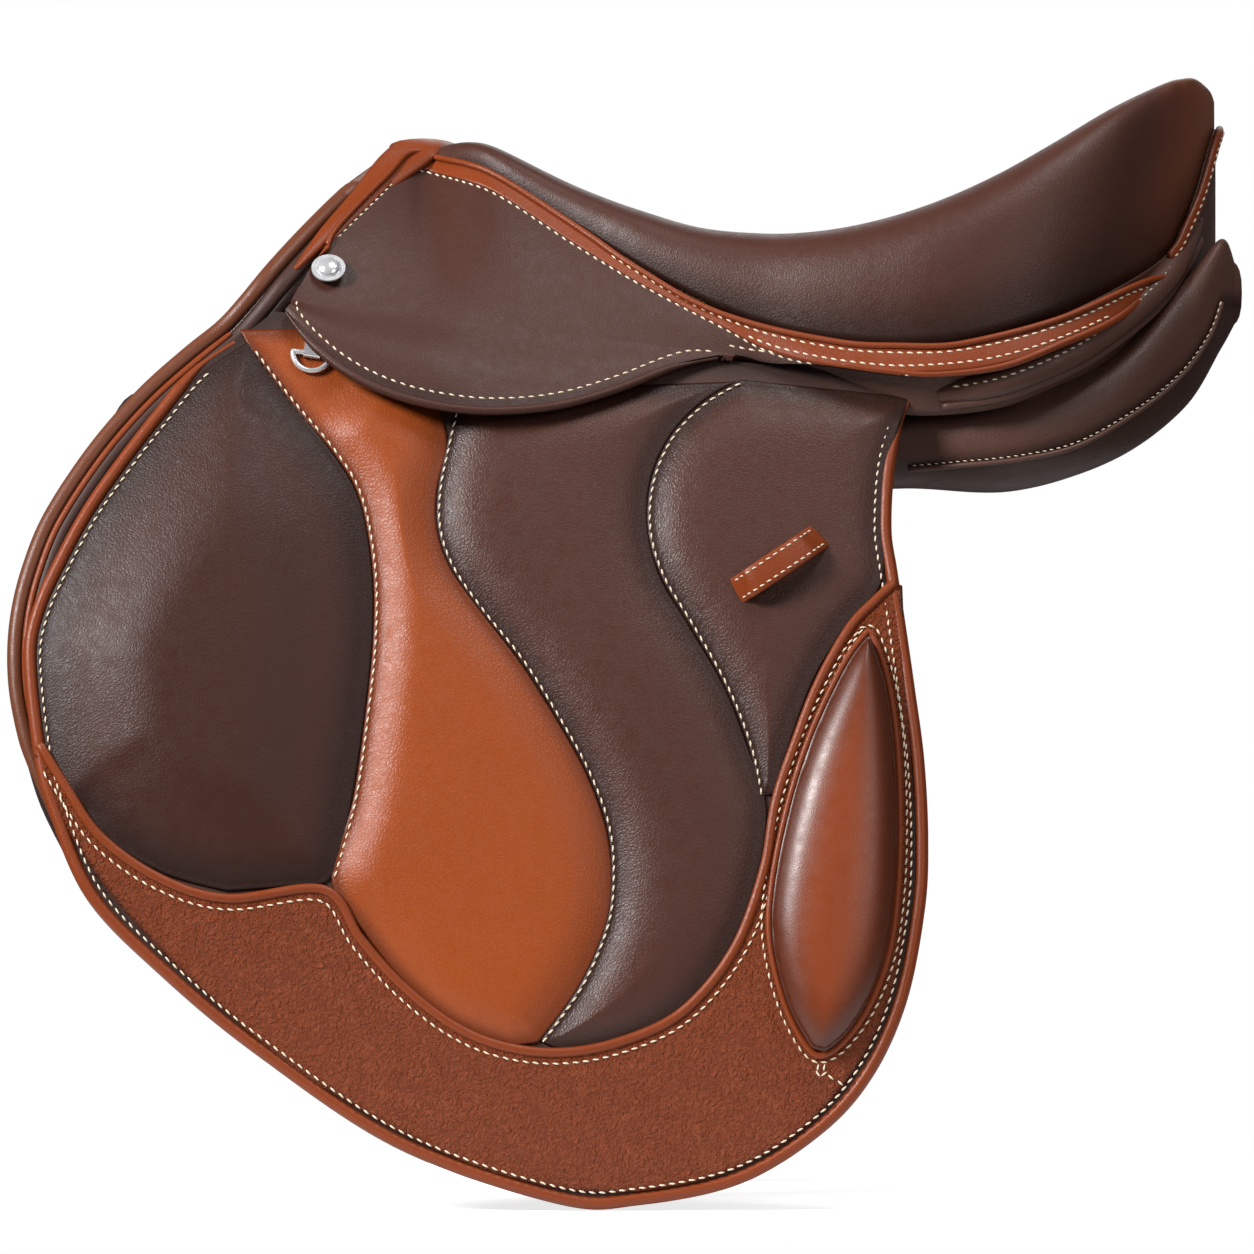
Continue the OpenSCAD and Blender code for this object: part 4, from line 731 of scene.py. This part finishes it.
def flap_patch(name, g, front, rear, base, lift, rows=130, cols=56, grow=0.0, even=False, dome=0.0,
               lean=0.0, soft=0.1, calm=None, shade_width=15):
    a = beside(warped(on_flap(front), rows, even), -grow)
    b = beside(warped(on_flap(rear), rows, even), grow)
    v = (0.5 - 0.5 * np.cos(math.pi * np.linspace(0, 1, cols + 1)))[None, :, None]
    flat = (a[:, None] * (1 - v) + b[:, None] * v).reshape(-1, 2)
    d = from_outline(flat, np.concatenate([a, b[::-1]]))
    across = np.broadcast_to(v, (rows + 1, cols + 1, 1)).ravel()
    down = np.repeat(np.linspace(0, 1, rows + 1), cols + 1)
    across = across * (1 + lean) / (1 + lean * across)
    ease = np.clip((d - HEM) / soft, 0, 1)
    bulge = (16 * across * (1 - across) * down * (1 - down)) ** 0.6
    rise = lift(d) + dome * bulge * ease ** 2 * (3 - 2 * ease)
    if calm:
        away = np.hypot(flat[:, 0] - calm[0], flat[:, 1] - calm[1]) - CALM_R
        near = np.minimum(away, bend_q(flat[:, 0], flat[:, 1]) - 2)
        rise = rise * np.clip(near / CALM_EASE, 0.08, 1)
    y = flap_y(flat[:, 0], flat[:, 1]) + base + rise
    pts = np.column_stack([flat[:, 0], g * y, flat[:, 1]]).reshape(rows + 1, cols + 1, 3)
    ob, i, j = grid_piece(name, pts, (0, g, 0))
    # Painted shade: the colour darkens near the outline of the piece, over the given width in mm.
    mark(ob, "edge", np.clip(d.reshape(rows + 1, cols + 1)[i, j] / shade_width, 0, 1))
    return ob


def flap_seam(line, g, off):
    y = flap_y(line[:, 0], line[:, 1]) + off
    q = bend_q(line[:, 0], line[:, 1])
    slope = LEAN_TOP - q * (LEAN_TOP - LEAN_LOW) / FLAP_H
    face = np.column_stack([0 * q, g * np.ones(len(q)), slope])
    return np.column_stack([line[:, 0], g * y, line[:, 1]]), face


def flat_lift(d):
    return 0 * d


SWEAT_FRONT = [
    [0.3, 0.87], [0.25, 0.87], [0.13, 0.929], [0.086, 0.885], [0.049, 0.833], [0.019, 0.78], [0, 0.727],
    [-0.013, 0.674], [-0.017, 0.633], [-0.009, 0.553], [0.002, 0.509], [0.025, 0.441], [0.078, 0.349],
    [0.161, 0.265], [0.266, 0.178], [0.421, 0.074]]
SWEAT_REAR = [
    [0.9, 0.8], [0.93, 0.795], [0.945, 0.79], [0.952, 0.775], [0.958, 0.755], [0.963, 0.725],
    [0.969, 0.662], [0.975, 0.588], [0.978, 0.507], [0.978, 0.416], [0.973, 0.341], [0.953, 0.244],
    [0.914, 0.162], [0.858, 0.1], [0.77, 0.049], [0.637, 0.026]]
ROLL_LINE = np.array([
    [-118, 164], [-121, 163], [-127, 158], [-140, 146], [-157, 128], [-171, 112], [-184, 96], [-195, 84],
    [-211, 71], [-231, 53], [-250, 32], [-266, 10], [-279, -12], [-287, -33], [-291.5, -51],
    [-293.5, -69], [-293, -88], [-290, -106], [-285, -124], [-274, -153]])
SWEAT_Y, SWEAT_T = -14.7, 0.003
ROLL_THIN = ([0, 0.06, 0.9, 1], [0.8, 1, 0.9, 0.4])
waxed = leather("waxed_dark", srgb(66, 42, 36), DARK_DEEP, cell=800.0, relief=0.0002, rough=0.5)
brown = leather("rolled_brown", srgb(104, 58, 38), DARK_DEEP, cell=800.0, relief=0.0002, rough=0.36)
for side, g in SIDES:
    under = flap_patch(side + "_sweat_leather", g, SWEAT_FRONT, SWEAT_REAR, SWEAT_Y, flat_lift, 90, 30)
    finish_with(under, "SOLIDIFY", thickness=SWEAT_T, offset=-1)
    finish_with(under, "BEVEL", width=0.0012, segments=3, limit_method="ANGLE", angle_limit=SHARP)
    bpy.ops.object.shade_smooth()
    settle(under, waxed, "saddle", "dark_leather", side + "_sweat_flap")
    for name, shift, first, size, deep, mat, slot in (
            ("facing_roll", 0.0, 0, 8.5, -13.0, brown, "dark_leather"),
            ("facing_inner", 8.5, 0, 8.5, -12.0, waxed, "dark_leather"),
            ("facing_piping", 5.0, 7, 3.6, -9.5, bridle, "tan_leather")):
        line = beside(evenly(ROLL_LINE[first:], 3.0), shift)
        part = np.clip((line[:, 1] - 78) / 36, 0, 1)
        y = head_y(line[:, 1] + 4) * part + (flap_y(line[:, 0], line[:, 1]) + deep) * (1 - part)
        if first == 0:
            y[:8] = y[8] * np.linspace(0, 1, 8)
        path = np.column_stack([line[:, 0], g * y, line[:, 1]])
        out = g * np.clip(np.abs(path[:, 1]) / 60, 0.05, 1)
        face = np.column_stack([np.full(len(path), -0.3), out, np.full(len(path), 0.35)])
        thin = np.interp(np.linspace(0, 1, len(path)), *ROLL_THIN)
        roll = tube(side + "_" + name, path, size * thin, size * 0.8, face)
        settle(roll, mat, "saddle", slot)
    for place in ("front", "middle", "rear"):
        dress(waxed, side + "_billet_" + place)
dress(linen, "girth_webbing")

# Flaps with their binding.
# The flap is a thick butt sheet hung from the tree, cut out over the stirrup bar. A tan strip is
# folded over its edge and rolled round a cord. The row of stitches inside it comes with the guard.
FRONT = [
    [0.271, 1.027], [0.226, 0.991], [0.184, 0.96], [0.142, 0.907], [0.1, 0.85], [0.063, 0.794],
    [0.032, 0.734], [0.009, 0.679], [0, 0.622], [0.012, 0.513], [0.028, 0.451], [0.072, 0.348],
    [0.155, 0.26], [0.26, 0.171], [0.415, 0.065], [0.592, 0.002]]
REAR = [
    [1, 0.938], [0.992, 0.926], [0.978, 0.891], [0.965, 0.84], [0.961, 0.771], [0.967, 0.725],
    [0.976, 0.662], [0.986, 0.588], [0.996, 0.507], [1, 0.416], [0.996, 0.336], [0.975, 0.229],
    [0.936, 0.143], [0.88, 0.08], [0.792, 0.025], [0.681, 0.001]]
NOTCH_FRONT, NOTCH_REAR, NOTCH_DEEP = -121, -39, 34
ALONG, UP = (math.cos(TILT), 0, -math.sin(TILT)), (math.sin(TILT), 0, math.cos(TILT))
NOTCH = [((NOTCH_FRONT * ALONG[0], 0, HINGE_Z + NOTCH_FRONT * ALONG[2]), ALONG),
         ((NOTCH_REAR * ALONG[0], 0, HINGE_Z + NOTCH_REAR * ALONG[2]), ALONG),
         ((-NOTCH_DEEP * UP[0], 0, HINGE_Z - NOTCH_DEEP * UP[2]), UP)]


def in_notch(p):
    along = p[0] * ALONG[0] + (p[2] - HINGE_Z) * ALONG[2]
    return NOTCH_FRONT < along < NOTCH_REAR and bend_q(p[0], p[2]) < NOTCH_DEEP


FLAP_T, BINDING_W, BINDING_T = 0.004, 6.4, 7.4
backing = leather("flap_backing", srgb(74, 48, 41), DARK_DEEP, cell=650.0, rough=0.5)
rim_line = evenly(np.concatenate([on_flap(FRONT[1:]), on_flap(REAR[1:])[::-1]]), 3.0)
for side, g in SIDES:
    sheet = flap_patch(side + "_flap_leather", g, FRONT, REAR, 0, flat_lift, 110, 60, grow=-2.5)
    cut = bmesh.new()
    cut.from_mesh(sheet.data)
    for at, way in NOTCH:
        whole = cut.verts[:] + cut.edges[:] + cut.faces[:]
        bmesh.ops.bisect_plane(cut, geom=whole, plane_co=[v / 1000 for v in at], plane_no=way)
    hole = [f for f in cut.faces if in_notch(f.calc_center_median() * 1000)]
    bmesh.ops.delete(cut, geom=hole, context="FACES")
    cut.to_mesh(sheet.data)
    cut.free()
    finish_with(sheet, "SOLIDIFY", thickness=FLAP_T, offset=-1)
    bpy.ops.object.shade_smooth_by_angle(angle=SHARP)
    settle(sheet, backing, side + "_flap", "dark_leather", side + "_flap")
    path, face = flap_seam(beside(rim_line, 3), g, -1.2)
    full = np.clip(np.minimum(np.arange(len(path)), np.arange(len(path))[::-1]) / 12, 0.4, 1)
    roll = tube(side + "_binding_roll", path, BINDING_W * full, BINDING_T * full, face, sides=18)
    settle(roll, bridle, side + "_flap", "tan_leather", side + "_flap_binding")

# Panels sewn on the flap.
# Soft calf over thin foam: a puffed knee block, a tan front panel and two dark panels behind it. Each
# lies in a stitched seam, drawn down so that the leather swells up on both sides.
inner_front = beside(evenly(on_flap(FRONT[1:11]), 4.0), 7.6)
KNEE = (((inner_front - (FLAP_X, FLAP_Z)) / (FLAP_L, FLAP_H)).tolist()
        + [[0.064, 0.453], [0.098, 0.417], [0.157, 0.381], [0.227, 0.361]],
        [[0.243, 0.985], [0.288, 0.92], [0.336, 0.858], [0.367, 0.803], [0.381, 0.725], [0.382, 0.645],
         [0.373, 0.553], [0.36, 0.462], [0.346, 0.391], [0.33, 0.367]])
SWOOSH = ([
    [0.24, 1.003], [0.253, 0.978], [0.296, 0.92], [0.345, 0.86], [0.374, 0.808], [0.389, 0.727],
    [0.39, 0.645], [0.381, 0.551], [0.368, 0.459], [0.345, 0.372], [0.382, 0.311], [0.423, 0.257],
    [0.478, 0.209], [0.54, 0.183]], [
    [0.345, 1.0], [0.37, 0.965], [0.44, 0.93], [0.464, 0.874], [0.453, 0.817], [0.453, 0.771],
    [0.468, 0.725], [0.502, 0.675], [0.546, 0.616], [0.588, 0.548], [0.621, 0.485], [0.642, 0.422],
    [0.647, 0.359], [0.638, 0.31], [0.61, 0.248], [0.566, 0.187]])
MIDDLE = ([
    [0.484, 0.929], [0.472, 0.874], [0.461, 0.817], [0.461, 0.771], [0.476, 0.727], [0.509, 0.678],
    [0.554, 0.62], [0.596, 0.551], [0.629, 0.488], [0.65, 0.424], [0.653, 0.359], [0.645, 0.311],
    [0.618, 0.248], [0.574, 0.184]], [
    [0.786, 0.945], [0.748, 0.92], [0.712, 0.88], [0.69, 0.828], [0.687, 0.771], [0.701, 0.714],
    [0.734, 0.656], [0.772, 0.588], [0.798, 0.519], [0.818, 0.455], [0.81, 0.379], [0.778, 0.293],
    [0.723, 0.225], [0.658, 0.191], [0.592, 0.18]])
HIND = ([
    [0.796, 0.94], [0.756, 0.916], [0.72, 0.878], [0.698, 0.827], [0.694, 0.771], [0.709, 0.717],
    [0.742, 0.66], [0.78, 0.59], [0.806, 0.521], [0.817, 0.466]], [
    [0.978, 0.925], [0.964, 0.88], [0.952, 0.84], [0.947, 0.777], [0.95, 0.734], [0.942, 0.701],
    [0.91, 0.664], [0.873, 0.604], [0.846, 0.532], [0.828, 0.468]])


def swell(edge, crown, spread, hem=HEM):
    def lift(d):
        u = np.clip(d / edge, 0, 1)
        return edge * np.sqrt(u * (2 - u)) + crown * (1 - np.exp(-(np.maximum(d - hem, 0) / spread) ** 1.5))
    return lift


glove = leather("glove_dark", DARK, DARK_DEEP, cell=620.0, wrinkle=150.0, relief=0.0004, strength=0.22,
                rough=0.4)
# Painted shade: the knee block gets a darker, less glossy copy of the dark panel leather.
knee_shaded_calf = leather("knee_dark_shaded", srgb(60, 32, 24), DARK_DEEP, cell=620.0, wrinkle=150.0, relief=0.0004,
                    strength=0.22, rough=0.44, gloss=0.26)
saddle_tan = leather("saddle_tan", TAN, TAN_DEEP, cell=560.0, wrinkle=150.0, relief=0.0004, strength=0.2,
                     rough=0.4)
PAD_Y, PAD_EDGE, PAD_T, DEE_AT = 0.2, 1.6, 0.0012, (-152, 66)
for side, g in SIDES:
    body = side + "_flap"
    for name, edges, crown, spread, dome, shade_width, mat, slot, node in (
            ("knee_pad", KNEE, 3.6, 8.0, 13.0, 26, knee_shaded_calf, "dark_leather", "knee_block"),
            ("swoosh_pad", SWOOSH, 4.6, 9.0, 2.0, 9, saddle_tan, "tan_leather", "front_swoosh"),
            ("middle_pad", MIDDLE, 4.6, 9.0, 2.0, 13, glove, "dark_leather", "middle_panel"),
            ("hind_pad", HIND, 4.4, 9.0, 1.5, 13, glove, "dark_leather", "rear_panel")):
        pad = flap_patch(side + "_" + name, g, *edges, PAD_Y, swell(PAD_EDGE, crown, spread), grow=1.75,
                         even=True, dome=dome, lean=1.3, soft=2.2 * shade_width, calm=DEE_AT, shade_width=shade_width)
        finish_with(pad, "SOLIDIFY", thickness=PAD_T, offset=-1)
        settle(pad, mat, body, slot, side + "_" + node)
    lines = [beside(evenly(on_flap(shares), 3.0), -0.2) for shares in (SWOOSH[0][1:10], MIDDLE[0], HIND[0])]
    sew(side + "_panel_stitches", [flap_seam(line, g, 2.0) for line in lines], body)

# Lower guard, thigh block and keeper.
# A heavy pebble-grained tan strip guards the foot of the flap, its inner edge rolled. The thigh block
# is moulded and piped, and a stitched loop above it keeps the stirrup leather.
GUARD = ([
    [0.02, 0.522], [0.047, 0.478], [0.086, 0.42], [0.152, 0.372], [0.227, 0.349], [0.333, 0.359],
    [0.373, 0.304], [0.417, 0.253], [0.473, 0.207], [0.528, 0.182], [0.592, 0.174], [0.659, 0.186],
    [0.728, 0.22], [0.785, 0.29], [0.818, 0.379], [0.832, 0.459], [0.854, 0.527], [0.88, 0.595],
    [0.914, 0.657], [0.942, 0.688], [0.962, 0.707]], [
    [0.018, 0.515], [0.036, 0.472], [0.06, 0.422], [0.112, 0.346], [0.195, 0.256], [0.288, 0.173],
    [0.36, 0.124], [0.426, 0.085], [0.493, 0.054], [0.554, 0.034], [0.62, 0.022], [0.687, 0.023],
    [0.757, 0.037], [0.815, 0.062], [0.867, 0.1], [0.917, 0.162], [0.953, 0.238], [0.972, 0.338],
    [0.977, 0.473], [0.971, 0.6], [0.967, 0.706]])
THIGH = ([
    [0.931, 0.65], [0.908, 0.617], [0.873, 0.542], [0.847, 0.462], [0.828, 0.37], [0.825, 0.301],
    [0.842, 0.228], [0.868, 0.178]], [
    [0.939, 0.65], [0.957, 0.592], [0.967, 0.507], [0.968, 0.393], [0.959, 0.301], [0.94, 0.24],
    [0.914, 0.196], [0.887, 0.172]])
KEEPER = np.array([[0, 0], [0.08, 0.35], [0.2, 0.85], [0.5, 1], [0.8, 0.85], [0.92, 0.35], [1, 0]])
pebble = leather("pebbled_tan", srgb(156, 70, 28), srgb(96, 40, 14), cell=360.0, wrinkle=420.0, relief=0.0035,
                 strength=1.0, rough=0.38, valley_shade=0.3, grain="Worm", gloss=0.32)
moulded = leather("moulded_tan", srgb(130, 57, 23), srgb(46, 17, 7), cell=700.0, relief=0.0002, rough=0.36,
                  strength=0.1, valley_shade=0.0, gloss=0.45)
GUARD_Y, THIGH_Y, KEEPER_Y, KEEPER_RISE, KEEPER_W, KEEPER_T = 0.2, 2.6, 6.6, 11, 14, 3.0
KEEPER_ENDS = on_flap([[0.79, 0.7], [0.88, 0.762]])
KNOT, KNOT_R = (92.6, -272.6), 3
TAIL = np.array([[95, -274.5], [99.5, -277], [104, -280]])
for side, g in SIDES:
    body = side + "_flap"
    guard = flap_patch(side + "_guard_strip", g, *GUARD, GUARD_Y, swell(2.2, 0.8, 8.0), 240, 40,
                       grow=-2.6, shade_width=4)
    finish_with(guard, "SOLIDIFY", thickness=PAD_T, offset=-1)
    settle(guard, pebble, body, "grained_leather", side + "_lower_guard")
    inner = evenly(on_flap(GUARD[0]), 2.5)
    path, face = flap_seam(inner, g, 2.2)
    roll = tube(side + "_guard_roll", path, 5.0, 4.4, face, sides=14)
    settle(roll, bridle, body, "tan_leather")
    outline = beside(rim_line, 8.0)
    low = ((outline[:, 0] < 0) & (outline[:, 1] < -128)) | ((outline[:, 0] >= 0) & (outline[:, 1] < -50))
    path, face = flap_seam(outline, g, np.where(low, 2.9, 2.2))
    seams = [flap_seam(beside(inner, -5.2)[4:-10], g, 3.3), (path[6:-6:2], face[6:-6:2])]
    sew(side + "_guard_stitches", seams, body)
    block = flap_patch(side + "_thigh_pad", g, *THIGH, THIGH_Y, swell(2.4, 2.0, 5.0, hem=1.0), 120, 56,
                       dome=12.0, shade_width=24)
    finish_with(block, "SOLIDIFY", thickness=PAD_T, offset=-1)
    settle(block, moulded, body, "tan_leather", side + "_thigh_block")
    ring = evenly(on_flap(THIGH[0] + THIGH[1][::-1] + THIGH[0][:1]), 2.0)
    path, face = flap_seam(ring, g, 3.8)
    cord = tube(side + "_thigh_piping", path, 3.4, 3.4, face, sides=12)
    settle(cord, bridle, body, "tan_leather")
    turn = np.linspace(0, 2 * math.pi, 13)
    knot = np.column_stack([KNOT[0] + KNOT_R * np.sin(turn), KNOT[1] + KNOT_R * np.cos(turn)])
    sew(side + "_thigh_stitches", [flap_seam(q, g, 3.3) for q in (beside(ring, -3.4), knot, TAIL)], body)
    path = []
    for s, h in by_index(KEEPER, 60):
        x, z = KEEPER_ENDS[0] * (1 - s) + KEEPER_ENDS[1] * s
        path.append([x, g * (flap_y(x, z) + KEEPER_Y + KEEPER_RISE * h), z])
    path = np.array(path)
    loop = tube(side + "_keeper_strap", path, KEEPER_W, KEEPER_T, (0, g, 0.2), sides=20, square=0.6)
    settle(loop, bridle, body, "tan_leather", side + "_keeper_loop")
    _, n, b = frames(path, np.broadcast_to((0, g, 0.2), path.shape).astype(float))
    path, n, b = path[4:-4:4], n[4:-4:4], b[4:-4:4]
    seams = [(path + n * 1.6 + b * w, n) for w in (-4.6, 4.6)]
    sew(side + "_keeper_stitches", seams, body, pitch=4.2, long=3.0, wide=0.9)

# Studio.
# A pale paper floor lies just under the flaps, in a white room. Four soft boxes light it, the key from
# the front end, and the camera looks level at the near side.
FLOOR_Z, EYE, LENS, SENSOR, FAR = -0.3395, (0, -8.15, -0.061), 478, 36, 60
bpy.ops.mesh.primitive_plane_add(size=1.0, location=(0, 0, FLOOR_Z))
floor = bpy.context.object
floor.name = "floor"
paper, t, b = surface("pale_paper", 0.9, specular=0.1)
b.inputs["Base Color"].default_value = (0.9, 0.9, 0.9, 1)
b.inputs["Emission Color"].default_value = (1, 1, 1, 1)
seen = put(t, "LightPath")
glow = put(t, "MapRange", {"Value": seen.outputs["Is Camera Ray"], "To Min": 0.1, "To Max": 0.75})
t.links.new(glow.outputs["Result"], b.inputs["Emission Strength"])
floor.data.materials.append(paper)
world = bpy.data.worlds.new("white_room")
bpy.context.scene.world = world
world.use_nodes = True
t = world.node_tree
seen = put(t, "LightPath")
white = put(t, "MapRange", {"Value": seen.outputs["Is Camera Ray"], "To Min": 0.1, "To Max": 1.0})
t.nodes["Background"].inputs["Color"].default_value = (1, 1, 1, 1)
t.links.new(white.outputs["Result"], t.nodes["Background"].inputs["Strength"])
for name, place, aim, size, power in (("key", (-2.2, -1.7, 1.6), (0, -0.1, 0.0), 0.9, 155),
                                      ("fill", (1.6, -2.4, 1.0), (0, -0.1, 0.0), 1.2, 14),
                                      ("back", (0.6, 2.6, 1.5), (0, 0.1, 0.0), 1.8, 14),
                                      ("top", (0.7, -0.9, 2.4), (0.1, 0, 0.0), 1.0, 32)):
    light = bpy.data.lights.new(name, "AREA")
    light.size = size
    light.energy = power
    lamp = bpy.data.objects.new(name, light)
    lamp.location = place
    lamp.rotation_euler = (mathutils.Vector(aim) - lamp.location).to_track_quat("-Z", "Y").to_euler()
    lamp.visible_camera = False
    bpy.context.scene.collection.objects.link(lamp)
view = bpy.data.cameras.new("front")
view.lens = LENS
view.sensor_width = SENSOR
view.clip_end = FAR
eye = bpy.data.objects.new("front", view)
eye.location = EYE
eye.rotation_euler = (math.radians(90), 0, 0)
bpy.context.scene.collection.objects.link(eye)
bpy.context.scene.camera = eye
bpy.context.scene.view_settings.view_transform = "Standard"
